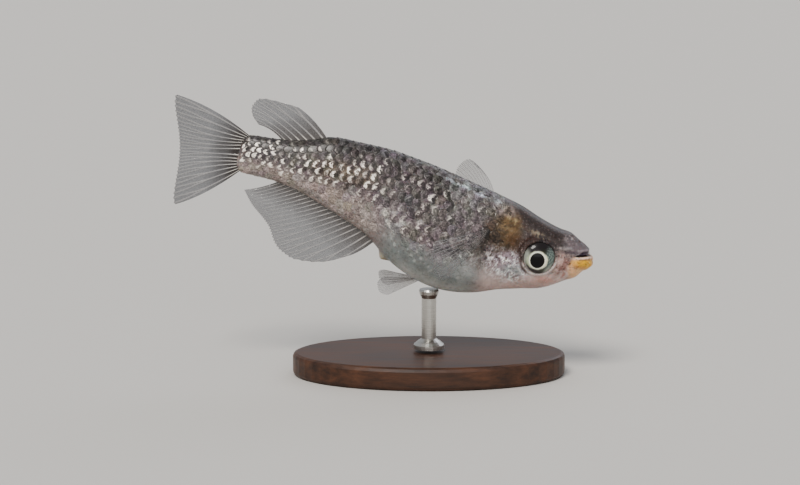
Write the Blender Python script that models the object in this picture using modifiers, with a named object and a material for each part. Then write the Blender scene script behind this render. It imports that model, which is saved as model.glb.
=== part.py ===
"""A Japanese rice fish, life size, swimming head down over a plain display stand.

Metres, +Z up, the head towards +X. The origin is the middle of the stand's underside.
The fish is shaped in a frame of its own, with its origin at the tip of the snout. There `along` runs
from the snout towards the tail, `side` to the fish's left and `up` to its back. An empty carries that
frame, tips it head down and sets it over the stand.
"""

import math

import bmesh
import bpy
import numpy as np
from mathutils import Matrix, Vector

MM = 0.001
GAP = 0.3 * MM  # left between two nodes that meet
HALF_GAP = GAP / 2

BODY_LENGTH = 32.2 * MM  # snout to the end of the tail's flesh
PITCH = math.radians(16)
BASE_LENGTH = 24 * MM
BASE_WIDTH = 14 * MM
BASE_THICKNESS = 2.0 * MM
BASE_EDGE = 0.35 * MM
BASE_SIDES = 56
ROD_RADIUS = 0.65 * MM
REST_RADIUS = 0.88 * MM
COLLAR_RADIUS = 1.35 * MM
ROD_SHOWS = 5.6 * MM  # of the rod, between the base and the belly
BALANCE_ALONG = 13.0 * MM  # the rod meets the belly here, under the middle of the fish's weight

# The body at a few stations, in millimetres: along, height of the back, height of the belly, half width,
# then the share of the depth at which it is widest, and how square its back is (2 is an ellipse).
STATIONS = (
    (0.0, 0.50, -1.02, 1.08, 0.50, 2.3),
    (0.5, 0.70, -1.33, 1.28, 0.50, 2.4),
    (0.9, 0.85, -1.66, 1.42, 0.50, 2.5),
    (1.5, 1.08, -2.40, 1.60, 0.51, 2.6),
    (2.3, 1.46, -3.10, 1.80, 0.52, 2.7),
    (3.3, 1.54, -3.78, 2.05, 0.52, 2.9),
    (5.3, 1.98, -4.48, 2.35, 0.52, 2.8),
    (7.0, 2.52, -5.05, 2.62, 0.50, 2.4),
    (9.2, 2.94, -5.98, 2.82, 0.48, 2.1),
    (12.2, 3.38, -6.50, 2.95, 0.45, 2.0),
    (15.0, 3.78, -6.08, 2.75, 0.46, 2.0),
    (17.6, 4.02, -4.96, 2.42, 0.48, 2.0),
    (19.2, 4.10, -3.86, 2.18, 0.50, 2.0),
    (22.2, 3.96, -2.76, 1.78, 0.50, 2.0),
    (24.6, 3.72, -2.06, 1.48, 0.50, 2.0),
    (26.6, 2.88, -1.58, 1.24, 0.50, 2.0),
    (28.6, 2.30, -1.40, 1.04, 0.50, 2.0),
    (30.6, 2.00, -1.48, 0.84, 0.50, 2.0),
    (32.2, 1.80, -1.58, 0.62, 0.50, 2.0),
)
BELLY_SQUARENESS = 2.1
# The snout rounds off over these lengths, above and below: the lower jaw is blunter than the upper.
SNOUT_ROUND = 0.95 * MM
CHIN_ROUND = 0.5 * MM
CHIN_SQUARENESS = 2.6
TIP_UP = -0.26 * MM
UPPER_LIP_BACK = 0.17 * MM  # the upper jaw's tip lies this far back
LOWER_LIP_AHEAD = 0.08 * MM  # and the lower jaw's juts this far ahead
LIPS_FADE = 1.2 * MM  # both have faded out this far along
TAIL_ROUND = 1.1 * MM
TAIL_SQUARENESS = 3.0
RING_POINTS = 40
FAR = 15 * MM  # past everything on the fish, for the outlines that part it

# Where the body sways: the tail swings to the fish's left and the head turns a little to its right.
TAIL_SWAY = 2.2 * MM
TAIL_SWAY_FROM = 12 * MM
TAIL_SWAY_TO = 38 * MM
HEAD_SWAY = -0.25 * MM
HEAD_SWAY_TO = 9 * MM

# The edge of the gill covers is an arc, and parts the head from the trunk.
GILL_ALONG = 5.6 * MM
GILL_UP = -1.0 * MM
GILL_RADIUS = 3.7 * MM
VENT_ALONG = 18.3 * MM  # the trunk ends at the vent
VENT_LEAN = 0.5 * MM  # and the cut leans back by this much from its middle to its ends
MOUTH_CORNER = (1.60 * MM, -0.26 * MM)
MOUTH_TIP_UP = 0.06 * MM
JAW_JOINT = (1.95 * MM, -1.00 * MM)
JAW_REAR = (2.75 * MM, -3.30 * MM)  # where the lower jaw ends at the throat
UPPER_LIP_RADIUS = 0.17 * MM
LOWER_LIP_RADIUS = 0.21 * MM
LIP_OFFSET = 0.24 * MM  # from the mouth's line to the middle of a lip
LIP_END = 1.65 * MM  # how far along the lips run
LIP_SINK = 0.3  # share of its radius by which a lip is sunk in the snout
LIP_TAPER = 0.5  # share of its thickness that a lip loses at the mouth's corners
LIP_POINTS = 15

EYE_ALONG = 4.66 * MM
EYE_UP = -1.17 * MM
EYE_SIDE = 1.62 * MM
EYE_RADIUS = 1.42 * MM
EYE_BULGE = 1.0 * MM  # half the eye's thickness, across the head
PUPIL_RADIUS = 0.60 * MM
PUPIL_STEP = 0.05 * MM
TURNED_SIDES = 24
# The two nostrils of one side: along, side, radius.
NOSTRILS = ((1.55 * MM, 0.78 * MM, 0.15 * MM), (2.25 * MM, 0.92 * MM, 0.18 * MM))
PAPILLA_ALONG = 17.55 * MM
PAPILLA_RADIUS = 0.42 * MM

MEMBRANE = 0.50 * MM
MEMBRANE_EDGE = 0.22 * MM
RAY_RIDGE = 0.20 * MM
FIN_ROWS = 8
EDGE_NOTCH = 0.025  # how far a fin's edge falls back between two rays, as a share of their length
THINS_FROM = 0.7  # the membrane thins from this share of the way to the tips
RIDGE_FADE = 0.6  # share of a ridge's height that is gone at its tip

# Tips of the fin rays in the order they grow, in millimetres: share along the fin's root, along, up.
DORSAL_ROOT = (25.0 * MM, 28.5 * MM)
DORSAL_RAYS = 6
DORSAL_BOW = 0.25 * MM  # the rays arch up by this
DORSAL_TIPS = (
    (0.0, 28.3, 5.42),
    (0.2, 31.1, 5.32),
    (0.5, 32.15, 4.55),
    (0.8, 31.9, 3.55),
    (1.0, 31.2, 2.95),
)
ANAL_ROOT = (18.75 * MM, 27.9 * MM)
ANAL_RAYS = 18
ANAL_BOW = -0.15 * MM
ANAL_TIPS = (
    (0.0, 20.4, -5.85),
    (0.06, 22.4, -7.05),
    (0.13, 24.9, -7.60),
    (0.2, 26.1, -7.35),
    (0.45, 28.1, -5.35),
    (0.75, 29.9, -4.00),
    (1.0, 30.9, -2.95),
)
CAUDAL_RAYS = 17
CAUDAL_HUB_ALONG = 31.8 * MM
CAUDAL_AXIS = math.radians(-14.5)
CAUDAL_HALF_SPREAD = math.radians(38.7)
CAUDAL_MIDDLE = 5.75 * MM  # from the hub to the middle of the fin's rear edge
CAUDAL_FORK = 0.75 * MM  # the corners reach this much further back
CAUDAL_CORNER = 0.06  # share by which the outermost rays are shorter, which rounds the corners
CAUDAL_BOW = 0.40 * MM  # the outer rays bow outwards by this
CAUDAL_ROOT_ARC = math.radians(68)

PECTORAL_ALONG = 10.05 * MM
PECTORAL_UP = -0.6 * MM
PECTORAL_ROOT = 1.3 * MM
PECTORAL_LENGTH = 5.9 * MM
PECTORAL_RAYS = 10
# For each pectoral: the middle ray as back, outwards and up, how far the root's lower end lies behind
# its upper end as a share of its length, the angle over which the rays fan, and how far the rays
# bow towards the fin's leading edge.
PECTORAL_LEFT = ((2.9, 1.9, 4.85), 0.75, math.radians(13), 1.2 * MM)
PECTORAL_RIGHT = ((3.2, 2.7, -3.0), 0.15, math.radians(38), 0.0)
PELVIC_ALONG = 14.7 * MM
PELVIC_SIDE = 0.75 * MM
PELVIC_ROOT = 0.8 * MM
PELVIC_LENGTH = 3.0 * MM
PELVIC_FAN = math.radians(26)
PELVIC_RAYS = 6
PELVIC_LEFT = (2.6, 0.55, -0.8)
PELVIC_RIGHT = (2.4, 0.55, -1.15)
PAIRED_CUP = 0.3 * MM  # how far the paired fins bow out of flat
PAIRED_SLANT = 0.10  # the leading ray is longer and the last ray shorter by this share
PAIRED_ROUND = 0.22  # share by which the outermost rays are shorter, which rounds the fin

SKIN = ("skin", (0.36, 0.34, 0.32), 0.35, 0.0)
FIN = ("fin", (0.52, 0.52, 0.54), 0.35, 0.0)
JAW = ("jaw", (0.78, 0.50, 0.16), 0.35, 0.0)
EYE = ("eye", (0.05, 0.05, 0.05), 0.10, 0.0)
STAND_WOOD = ("stand_wood", (0.10, 0.055, 0.03), 0.45, 0.0)
STAND_METAL = ("stand_metal", (0.62, 0.60, 0.56), 0.30, 1.0)


def clear_scene():
    for old in list(bpy.data.objects):
        bpy.data.objects.remove(old)


def keep(obj):
    """Puts a new object in the fish's own collection."""
    parts = bpy.data.collections.get("rice_fish")
    if parts is None:
        parts = bpy.data.collections.new("rice_fish")
        bpy.context.scene.collection.children.link(parts)
    parts.objects.link(obj)
    return obj


def material(look):
    name, colour, roughness, metallic = look
    made = bpy.data.materials.get(name)
    if made is None:
        made = bpy.data.materials.new(name)
        made.use_nodes = True
        shader = made.node_tree.nodes["Principled BSDF"]
        shader.inputs["Base Color"].default_value = (*colour, 1.0)
        shader.inputs["Roughness"].default_value = roughness
        shader.inputs["Metallic"].default_value = metallic
    return made


def smooth(table, at, column):
    """Reads a column of a table at any place, by a cubic that passes through every row."""
    rows = np.array(table)
    x, y = rows[:, 0], rows[:, column]
    slopes = np.gradient(y, x)
    at = np.clip(at, x[0], x[-1])
    i = np.clip(np.searchsorted(x, at) - 1, 0, len(x) - 2)
    step = x[i + 1] - x[i]
    t = (at - x[i]) / step
    return (
        (2 * t**3 - 3 * t**2 + 1) * y[i]
        + (t**3 - 2 * t**2 + t) * step * slopes[i]
        + (3 * t**2 - 2 * t**3) * y[i + 1]
        + (t**3 - t**2) * step * slopes[i + 1]
    )


def sway(along):
    """How far the middle of the body lies to the fish's left of its straight axis."""
    tail = np.clip((along - TAIL_SWAY_FROM) / (TAIL_SWAY_TO - TAIL_SWAY_FROM), 0, None)
    head = np.clip((HEAD_SWAY_TO - along) / HEAD_SWAY_TO, 0, None)
    return TAIL_SWAY * tail**2 + HEAD_SWAY * head**2


def place(along, side, up):
    """Points of the fish as an array of coordinates in the fish's own frame."""
    along, side, up = np.broadcast_arrays(along, side, up)
    return np.stack([-along, side + sway(along), up], axis=-1)


def rounding(from_end, length, squareness):
    """Share of its full size that a section keeps where the body rounds off towards an end."""
    left = np.clip(1 - from_end / length, 0, 1)
    return (1 - left**squareness) ** (1 / squareness)


def section(along):
    """The back's height, the belly's, the height of the widest line, the half width and the squareness."""
    mm = along / MM
    back, belly = smooth(STATIONS, mm, 1) * MM, smooth(STATIONS, mm, 2) * MM
    widest = belly + (back - belly) * smooth(STATIONS, mm, 4)
    nose = np.clip(1 - along / SNOUT_ROUND, 0, 1) ** 2
    middle = widest + (TIP_UP - widest) * nose
    end = rounding(BODY_LENGTH - along, TAIL_ROUND, TAIL_SQUARENESS)
    above = rounding(along, SNOUT_ROUND, 2) * end
    below = rounding(along, CHIN_ROUND, CHIN_SQUARENESS) * end
    half = smooth(STATIONS, mm, 3) * MM * above
    squareness = smooth(STATIONS, mm, 5)
    return middle + (back - middle) * above, middle + (belly - middle) * below, middle, half, squareness


def jut(along, ahead):
    """Where a place on the snout comes to lie when its tip is moved ahead by a length."""
    return along - ahead * np.clip(1 - along / LIPS_FADE, 0, 1) ** 2


def skin_side(along, up):
    """Half width of the body at a height."""
    back, belly, middle, half, squareness = section(along)
    share = np.where(up > middle, (up - middle) / (back - middle), (middle - up) / (middle - belly))
    power = np.where(up > middle, squareness, BELLY_SQUARENESS)
    return half * (1 - np.clip(share, 0, 1) ** power) ** (1 / power)


def skin_under(along, side):
    """Height of the belly's surface at a distance from the middle."""
    _, belly, middle, half, _ = section(along)
    share = (1 - np.clip(side / half, 0, 1) ** BELLY_SQUARENESS) ** (1 / BELLY_SQUARENESS)
    return middle - (middle - belly) * share


def ring(along):
    """One closed section of the body, as rows of side and up."""
    back, belly, middle, half, squareness = section(along)
    turn = np.arange(RING_POINTS) * 2 * math.pi / RING_POINTS
    c, s = np.cos(turn), np.sin(turn)
    power = np.where(s > 0, squareness, BELLY_SQUARENESS)
    reach = np.where(s > 0, back - middle, middle - belly)
    side = half * np.sign(c) * np.abs(c) ** (2 / power)
    return side, middle + reach * np.sign(s) * np.abs(s) ** (2 / power)


def ring_places():
    """Where the body's sections stand: close together on the head, and rounding off both ends."""
    snout = SNOUT_ROUND * (1 - np.cos(np.linspace(0.12, math.pi / 2, 8)))
    head = np.arange(1.2, 9.0, 0.3) * MM
    trunk = np.arange(9.0, 18.5, 0.5) * MM
    tail = np.linspace(19.0 * MM, BODY_LENGTH - TAIL_ROUND, 22)
    end = BODY_LENGTH - TAIL_ROUND + TAIL_ROUND * np.sin(np.linspace(0.3, math.pi / 2 - 0.06, 5))
    return np.concatenate([snout, head, trunk, tail, end])


def mesh_object(name, points, faces, look):
    data = bpy.data.meshes.new(name)
    data.from_pydata([tuple(p) for p in points], [], [tuple(f) for f in faces])
    data.validate()
    data.materials.append(material(look))
    return keep(bpy.data.objects.new(name, data))


def face_outwards(obj):
    bm = bmesh.new()
    bm.from_mesh(obj.data)
    bmesh.ops.recalc_face_normals(bm, faces=bm.faces)
    bm.to_mesh(obj.data)
    bm.free()


def body(name, ahead=0.0):
    """The whole body as one loft of rings, with a fan of faces over each end."""
    places = ring_places()
    points = []
    for along in places:
        side, up = ring(along)
        points.extend(place(jut(along, ahead), side, up))
    faces = []
    for i in range(len(places) - 1):
        for j in range(RING_POINTS):
            k = (j + 1) % RING_POINTS
            a, b = i * RING_POINTS, (i + 1) * RING_POINTS
            faces.append((a + j, a + k, b + k, b + j))
    for first, along in ((0, 0.0), ((len(places) - 1) * RING_POINTS, BODY_LENGTH)):
        middle = section(np.array(along))[2]
        points.append(place(jut(along, ahead), 0.0, middle))
        tip = len(points) - 1
        faces.extend((first + j, first + (j + 1) % RING_POINTS, tip) for j in range(RING_POINTS))
    made = mesh_object(name, points, faces, SKIN)
    face_outwards(made)
    return made


def baked(obj):
    """The object as its modifiers leave it, with its place in its mesh."""
    graph = bpy.context.evaluated_depsgraph_get()
    data = bpy.data.meshes.new_from_object(obj.evaluated_get(graph))
    data.transform(obj.matrix_world)
    if obj.type == "CURVE":
        bm = bmesh.new()
        bm.from_mesh(data)
        bmesh.ops.remove_doubles(bm, verts=bm.verts, dist=0.001 * MM)
        bmesh.ops.recalc_face_normals(bm, faces=bm.faces)
        bm.to_mesh(data)
        bm.free()
    name = obj.name
    bpy.data.objects.remove(obj)
    return keep(bpy.data.objects.new(name, data))


def keep_largest(obj):
    """Drops every closed surface of the mesh but the one that spans the most."""
    bm = bmesh.new()
    bm.from_mesh(obj.data)
    left, shells = set(bm.verts), []
    while left:
        reached, edge = set(), [left.pop()]
        while edge:
            vert = edge.pop()
            reached.add(vert)
            for link in vert.link_edges:
                other = link.other_vert(vert)
                if other in left:
                    left.discard(other)
                    edge.append(other)
        shells.append(reached)
    largest = max(shells, key=len)
    dropped = [v for v in bm.verts if v not in largest]
    bmesh.ops.delete(bm, geom=dropped, context="VERTS")
    bm.to_mesh(obj.data)
    bm.free()


def combine(obj, operation, others):
    """Joins or cuts the object by a collection of closed meshes, which are then removed."""
    cutters = bpy.data.collections.new("cutters")
    bpy.context.scene.collection.children.link(cutters)
    for other in others:
        other.users_collection[0].objects.unlink(other)
        cutters.objects.link(other)
    change = obj.modifiers.new(operation.lower(), "BOOLEAN")
    change.operation = operation
    change.operand_type = "COLLECTION"
    change.collection = cutters
    change.solver = "EXACT"
    graph = bpy.context.evaluated_depsgraph_get()
    data = bpy.data.meshes.new_from_object(obj.evaluated_get(graph))
    obj.modifiers.clear()
    obj.data = data
    for other in others:
        bpy.data.objects.remove(other)
    bpy.data.collections.remove(cutters)
    keep_largest(obj)


def trim(obj, region):
    """Keeps what lies inside one closed mesh."""
    change = obj.modifiers.new("trim", "BOOLEAN")
    change.operation = "INTERSECT"
    change.object = region
    change.solver = "EXACT"
    graph = bpy.context.evaluated_depsgraph_get()
    data = bpy.data.meshes.new_from_object(obj.evaluated_get(graph))
    obj.modifiers.clear()
    obj.data = data
    bpy.data.objects.remove(region)
    keep_largest(obj)


def side_region(name, outline):
    """A block that is this outline of (along, up) from the side, and reaches far past the fish's flanks."""
    curve = bpy.data.curves.new(name, "CURVE")
    curve.dimensions = "2D"
    curve.fill_mode = "BOTH"
    curve.extrude = 10 * MM
    line = curve.splines.new("POLY")
    line.points.add(len(outline) - 1)
    for point, (along, up) in zip(line.points, outline):
        point.co = (-along, up, 0.0, 1.0)
    line.use_cyclic_u = True
    made = keep(bpy.data.objects.new(name, curve))
    made.rotation_euler = (math.pi / 2, 0, 0)
    bpy.context.view_layer.update()
    return baked(made)


def gill_arc(radius):
    """The gill covers' edge from over the nape to under the throat, as (along, up) points."""
    turns = np.linspace(math.radians(100), math.radians(-100), 29)
    arc = [(GILL_ALONG + radius * math.cos(t), GILL_UP + radius * math.sin(t)) for t in turns]
    return [(arc[0][0], FAR), *arc, (arc[-1][0], -FAR)]


def mouth_line(offset):
    """The mouth from in front of the snout to its corner, then down to the throat, moved up or back."""
    corner_along, corner_up = MOUTH_CORNER
    rear_along, rear_up = JAW_REAR
    slope = (corner_up - MOUTH_TIP_UP) / corner_along
    return [
        (-FAR, MOUTH_TIP_UP - slope * FAR + offset),
        (corner_along + offset * 0.7, corner_up + offset),
        (JAW_JOINT[0] + offset, JAW_JOINT[1]),
        (rear_along + offset, rear_up),
        (rear_along + 0.6 * MM + offset, -FAR),
    ]


def vent_line(offset):
    return [(VENT_ALONG + VENT_LEAN + offset, FAR), (VENT_ALONG - VENT_LEAN + offset, -FAR)]


def head_region():
    gill, mouth = gill_arc(GILL_RADIUS - HALF_GAP), mouth_line(HALF_GAP)
    return side_region("head_region", [*gill, *reversed(mouth), (-FAR, FAR)])


def jaw_region():
    return side_region("jaw_region", [*mouth_line(-HALF_GAP), (-FAR, -FAR)])


def trunk_region():
    gill, vent = gill_arc(GILL_RADIUS + HALF_GAP), vent_line(-HALF_GAP)
    return side_region("trunk_region", [*gill, *reversed(vent)])


def tail_region():
    end = BODY_LENGTH + FAR
    return side_region("tail_region", [*vent_line(HALF_GAP), (end, -FAR), (end, FAR)])


def mouth_up(along):
    """Height of the mouth's line."""
    return MOUTH_TIP_UP + (MOUTH_CORNER[1] - MOUTH_TIP_UP) * along / MOUTH_CORNER[0]


def lip(name, radius, offset, ahead):
    """A lip is a tube along the mouth, from corner to corner round the front of the snout."""
    tried = np.linspace(0, SNOUT_ROUND, 400)[1:]
    back, belly = section(tried)[:2]
    up = mouth_up(tried) + offset
    front = tried[(up < back) & (up > belly)][0]
    turn = np.linspace(-math.pi / 2, math.pi / 2, LIP_POINTS)
    along = front + (LIP_END - front) * (1 - np.cos(turn))
    side = skin_side(along, mouth_up(along) + offset) * np.sign(turn)
    thick = 1 - LIP_TAPER * np.abs(turn / turn[-1]) ** 4
    sink = LIP_SINK * radius
    curve = bpy.data.curves.new(name, "CURVE")
    curve.dimensions = "3D"
    curve.bevel_depth = radius
    curve.bevel_resolution = 2
    curve.use_fill_caps = True
    line = curve.splines.new("POLY")
    line.points.add(LIP_POINTS - 1)
    inward = sink * np.sin(turn)
    path = place(jut(along, ahead) + sink * np.cos(turn), side - inward, mouth_up(along) + offset)
    for point, co, size in zip(line.points, path, thick):
        point.co = (*co, 1.0)
        point.radius = size
    made = keep(bpy.data.objects.new(name, curve))
    bpy.context.view_layer.update()
    return baked(made)


def ball(name, centre, radii, segments=24, rings=14):
    """A sphere or an ellipsoid, whose radii run along, to the side and up."""
    data = bpy.data.meshes.new(name)
    bm = bmesh.new()
    bmesh.ops.create_uvsphere(
        bm,
        u_segments=segments,
        v_segments=rings,
        radius=1.0,
        matrix=Matrix.Translation(centre) @ Matrix.Diagonal((*radii, 1.0)),
    )
    bm.to_mesh(data)
    bm.free()
    return keep(bpy.data.objects.new(name, data))


def eye_centre(left):
    return Vector(place(EYE_ALONG, left * EYE_SIDE, EYE_UP))


def head():
    made = body("head", -UPPER_LIP_BACK)
    combine(made, "UNION", [lip("upper_lip", UPPER_LIP_RADIUS, LIP_OFFSET, -UPPER_LIP_BACK)])
    trim(made, head_region())
    holes = []
    for left in (1, -1):
        radii = (EYE_RADIUS + GAP, EYE_BULGE + GAP, EYE_RADIUS + GAP)
        holes.append(ball("socket", eye_centre(left), radii))
        for along, side, radius in NOSTRILS:
            back, _, middle, half, squareness = section(np.array(along))
            up = middle + (back - middle) * (1 - (side / half) ** squareness) ** (1 / squareness)
            centre = Vector(place(along, left * side, up))
            holes.append(ball("nostril", centre, (radius, radius, radius), 12, 8))
    combine(made, "DIFFERENCE", holes)
    return made


def lower_jaw():
    made = body("lower_jaw", LOWER_LIP_AHEAD)
    combine(made, "UNION", [lip("lower_lip", LOWER_LIP_RADIUS, -LIP_OFFSET, LOWER_LIP_AHEAD)])
    trim(made, jaw_region())
    made.data.materials.clear()
    made.data.materials.append(material(JAW))
    return made


def trunk():
    made = body("trunk")
    under = skin_under(np.array(PAPILLA_ALONG), 0.0)
    centre = Vector(place(PAPILLA_ALONG, 0.0, under))
    radii = (PAPILLA_RADIUS * 1.2, PAPILLA_RADIUS, PAPILLA_RADIUS)
    combine(made, "UNION", [ball("papilla", centre, radii, 12, 8)])
    trim(made, trunk_region())
    return made


def tail():
    made = body("tail")
    trim(made, tail_region())
    return made


def turned(name, profile, look):
    """A profile of (radius, height) from the top down, turned about the vertical."""
    data = bpy.data.meshes.new(name)
    rows = [(radius, 0.0, height) for radius, height in profile]
    data.from_pydata(rows, [(i, i + 1) for i in range(len(rows) - 1)], [])
    data.materials.append(material(look))
    made = keep(bpy.data.objects.new(name, data))
    turn = made.modifiers.new("turned", "SCREW")
    turn.steps = TURNED_SIDES
    turn.render_steps = TURNED_SIDES
    turn.use_smooth_shade = True
    turn.use_merge_vertices = True
    turn.merge_threshold = 0.002 * MM
    return made


def eye(name, left):
    """The eyeball, turned about the line across the head, with the pupil standing in a small step."""
    turn = np.linspace(0, math.pi, 13)
    ball_profile = [(EYE_RADIUS * math.sin(t), EYE_BULGE * math.cos(t)) for t in turn[1:-1]]
    rim = EYE_BULGE * math.sqrt(1 - (PUPIL_RADIUS / EYE_RADIUS) ** 2)
    profile = [(0.0, EYE_BULGE), (PUPIL_RADIUS, rim), (PUPIL_RADIUS + PUPIL_STEP, rim - PUPIL_STEP)]
    profile += [p for p in ball_profile if p[0] > PUPIL_RADIUS + 2 * PUPIL_STEP or p[1] < 0]
    profile.append((0.0, -EYE_BULGE))
    made = turned(name, profile, EYE)
    made.rotation_euler = (-left * math.pi / 2, 0, 0)
    made.location = eye_centre(left)
    return made


def fin(name, roots, tips, normals, bow, cup=0.0):
    """A fin whose rays are ridges raised in its own two faces.

    Rays and the folds between them take turns across the fin, and every column runs from its root to its
    tip. Both faces are split into triangles alike, so that they stay apart where the fin curves.
    """
    columns = len(roots)
    crest = (np.arange(columns) % 2 == 0).astype(float)
    tips = tips + (roots - tips) * (EDGE_NOTCH * (1 - crest))[:, None]
    run = np.linspace(0, 1, FIN_ROWS)[:, None]
    edge = np.clip((run - THINS_FROM) / (1 - THINS_FROM), 0, 1)
    thick = MEMBRANE + (MEMBRANE_EDGE - MEMBRANE) * edge**2
    thick = thick + RAY_RIDGE * crest * (1 - RIDGE_FADE * run)
    across = np.linspace(-1, 1, columns)
    middle = roots + (tips - roots) * run[:, :, None]
    middle = middle + bow * (run * (1 - run) * 4)[:, :, None]
    middle = middle + normals * (cup * (across**2 - 1) * run)[:, :, None]
    offset = normals * (thick / 2)[:, :, None]
    points = np.concatenate([(middle + offset).reshape(-1, 3), (middle - offset).reshape(-1, 3)])
    other = FIN_ROWS * columns
    faces = []
    for i in range(FIN_ROWS - 1):
        for j in range(columns - 1):
            a, b = i * columns + j, i * columns + j + 1
            c, d = b + columns, a + columns
            for corners in ((a, b, c), (a, c, d)):
                faces.append(corners)
                faces.append([other + k for k in reversed(corners)])
    border = [i * columns for i in range(FIN_ROWS)]
    border += [(FIN_ROWS - 1) * columns + j for j in range(1, columns)]
    border += [i * columns + columns - 1 for i in reversed(range(FIN_ROWS - 1))]
    border += [j for j in reversed(range(1, columns - 1))]
    for a, b in zip(border, border[1:] + border[:1]):
        faces.append((a, b, other + b))
        faces.append((a, other + b, other + a))
    made = mesh_object(name, points, faces, FIN)
    face_outwards(made)
    return made


def median_fin(name, root_span, rays, tips, on_back, bow):
    """A fin on the fish's middle plane, whose root follows the back or the belly."""
    share = np.linspace(0, 1, rays * 2 - 1)
    along = root_span[0] + (root_span[1] - root_span[0]) * share
    back, belly = section(along)[:2]
    up = back + GAP if on_back else belly - GAP
    tip_along, tip_up = smooth(tips, share, 1) * MM, smooth(tips, share, 2) * MM
    roots, ends = place(along, 0.0, up), place(tip_along, 0.0, tip_up)
    normals = np.tile([0.0, 1.0, 0.0], (len(share), 1))
    return fin(name, roots, ends, normals, np.array([0.0, 0.0, bow]))


def caudal_fin():
    """The tail fin fans from a rounded root that wraps the end of the tail."""
    share = np.linspace(-1, 1, CAUDAL_RAYS * 2 - 1)
    back, belly, middle, _, _ = section(np.array(BODY_LENGTH - TAIL_ROUND))
    turn = share * CAUDAL_ROOT_ARC
    power = 2 / TAIL_SQUARENESS
    reach = (back - belly) / 2 + GAP
    along = BODY_LENGTH - TAIL_ROUND + (TAIL_ROUND + GAP) * np.cos(turn) ** power
    up = middle - reach * np.sign(turn) * np.abs(np.sin(turn)) ** power
    angle = -share * CAUDAL_HALF_SPREAD
    length = (CAUDAL_MIDDLE + CAUDAL_FORK * share**2) / np.cos(angle)
    length = length * (1 - CAUDAL_CORNER * np.abs(share) ** 10)
    tip_along = CAUDAL_HUB_ALONG + length * np.cos(angle + CAUDAL_AXIS)
    tip_up = middle + length * np.sin(angle + CAUDAL_AXIS)
    normals = np.tile([0.0, 1.0, 0.0], (len(share), 1))
    bow = np.outer(-share, [0.0, 0.0, CAUDAL_BOW])
    return fin("caudal_fin", place(along, 0.0, up), place(tip_along, 0.0, tip_up), normals, bow)


def paired_fin(name, ends, way, length, fan, rays, bow=0.0):
    """A fin of one side. It fans in its own plane, which holds its root's line and its middle ray."""
    first, last = ends
    share = np.linspace(-1, 1, rays * 2 - 1)
    way = Vector(way).normalized()
    normal = Vector(last - first).cross(way).normalized()
    across = way.cross(normal).normalized()
    if across.dot(Vector(last - first)) < 0:
        across = -across
    angle = share * fan / 2
    reach = length * (1 - PAIRED_SLANT * share - PAIRED_ROUND * np.abs(share) ** 3)
    ray = np.outer(np.cos(angle), way) + np.outer(np.sin(angle), across)
    roots = (first + last) / 2 + np.outer(share, (last - first) / 2)
    normals = np.tile(normal, (len(share), 1))
    return fin(name, roots, roots + ray * reach[:, None], normals, -bow * np.array(across), PAIRED_CUP)


def pectoral_fin(name, left, pose):
    """The leading ray roots highest."""
    (back, out, up), lean, fan, bow = pose
    half = PECTORAL_ROOT / 2
    upright = math.sqrt(1 - lean**2)
    along = PECTORAL_ALONG + np.array([-1, 1]) * half * lean
    heights = PECTORAL_UP + np.array([1, -1]) * half * upright
    reach = skin_side(along, heights) + GAP + MEMBRANE / 2
    ends = place(along, left * reach, heights)
    return paired_fin(name, ends, (-back, left * out, up), PECTORAL_LENGTH, fan, PECTORAL_RAYS, bow)


def pelvic_fin(name, left, way):
    back, out, up = way
    side = np.array([PELVIC_SIDE, PELVIC_SIDE])
    along = np.array([PELVIC_ALONG - PELVIC_ROOT / 2, PELVIC_ALONG + PELVIC_ROOT / 2])
    ends = place(along, left * side, skin_under(along, side) - GAP)
    return paired_fin(name, ends, (-back, left * out, up), PELVIC_LENGTH, PELVIC_FAN, PELVIC_RAYS)


def stand_base():
    """An oval plate with softened edges."""
    data = bpy.data.meshes.new("stand_base")
    bm = bmesh.new()
    bmesh.ops.create_cone(
        bm,
        cap_ends=True,
        segments=BASE_SIDES,
        radius1=0.5,
        radius2=0.5,
        depth=1.0,
        matrix=Matrix.Diagonal((BASE_LENGTH, BASE_WIDTH, BASE_THICKNESS, 1.0)),
    )
    bm.to_mesh(data)
    bm.free()
    data.materials.append(material(STAND_WOOD))
    made = keep(bpy.data.objects.new("stand_base", data))
    made.location.z = BASE_THICKNESS / 2
    bevel = made.modifiers.new("softened", "BEVEL")
    bevel.width = BASE_EDGE
    bevel.segments = 2
    bevel.limit_method = "ANGLE"
    return made


def stand_rod():
    """A turned rod with a collar at its foot and a small rest under the belly."""
    foot, top = BASE_THICKNESS + GAP, BASE_THICKNESS + ROD_SHOWS
    profile = [
        (0.0, top),
        (REST_RADIUS - 0.07 * MM, top),
        (REST_RADIUS, top - 0.15 * MM),
        (REST_RADIUS - 0.07 * MM, top - 0.45 * MM),
        (ROD_RADIUS, top - 0.8 * MM),
        (ROD_RADIUS, foot + 0.9 * MM),
        (COLLAR_RADIUS * 0.75, foot + 0.65 * MM),
        (COLLAR_RADIUS, foot + 0.35 * MM),
        (COLLAR_RADIUS, foot),
        (0.0, foot),
    ]
    return turned("stand_rod", profile, STAND_METAL)


def carry(fish):
    """Hangs the fish's nodes on an empty that tips them head down and sets the belly on the rod."""
    belly = section(np.array(BALANCE_ALONG))[1]
    tip = Matrix.Rotation(PITCH, 3, "Y")
    rest = tip @ Vector((-BALANCE_ALONG, 0.0, belly))
    top = BASE_THICKNESS + ROD_SHOWS + GAP
    empty = keep(bpy.data.objects.new("fish", None))
    empty.rotation_euler = (0.0, PITCH, 0.0)
    empty.location = (-rest.x, 0.0, top - rest.z)
    for node in fish:
        node.parent = empty


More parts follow.
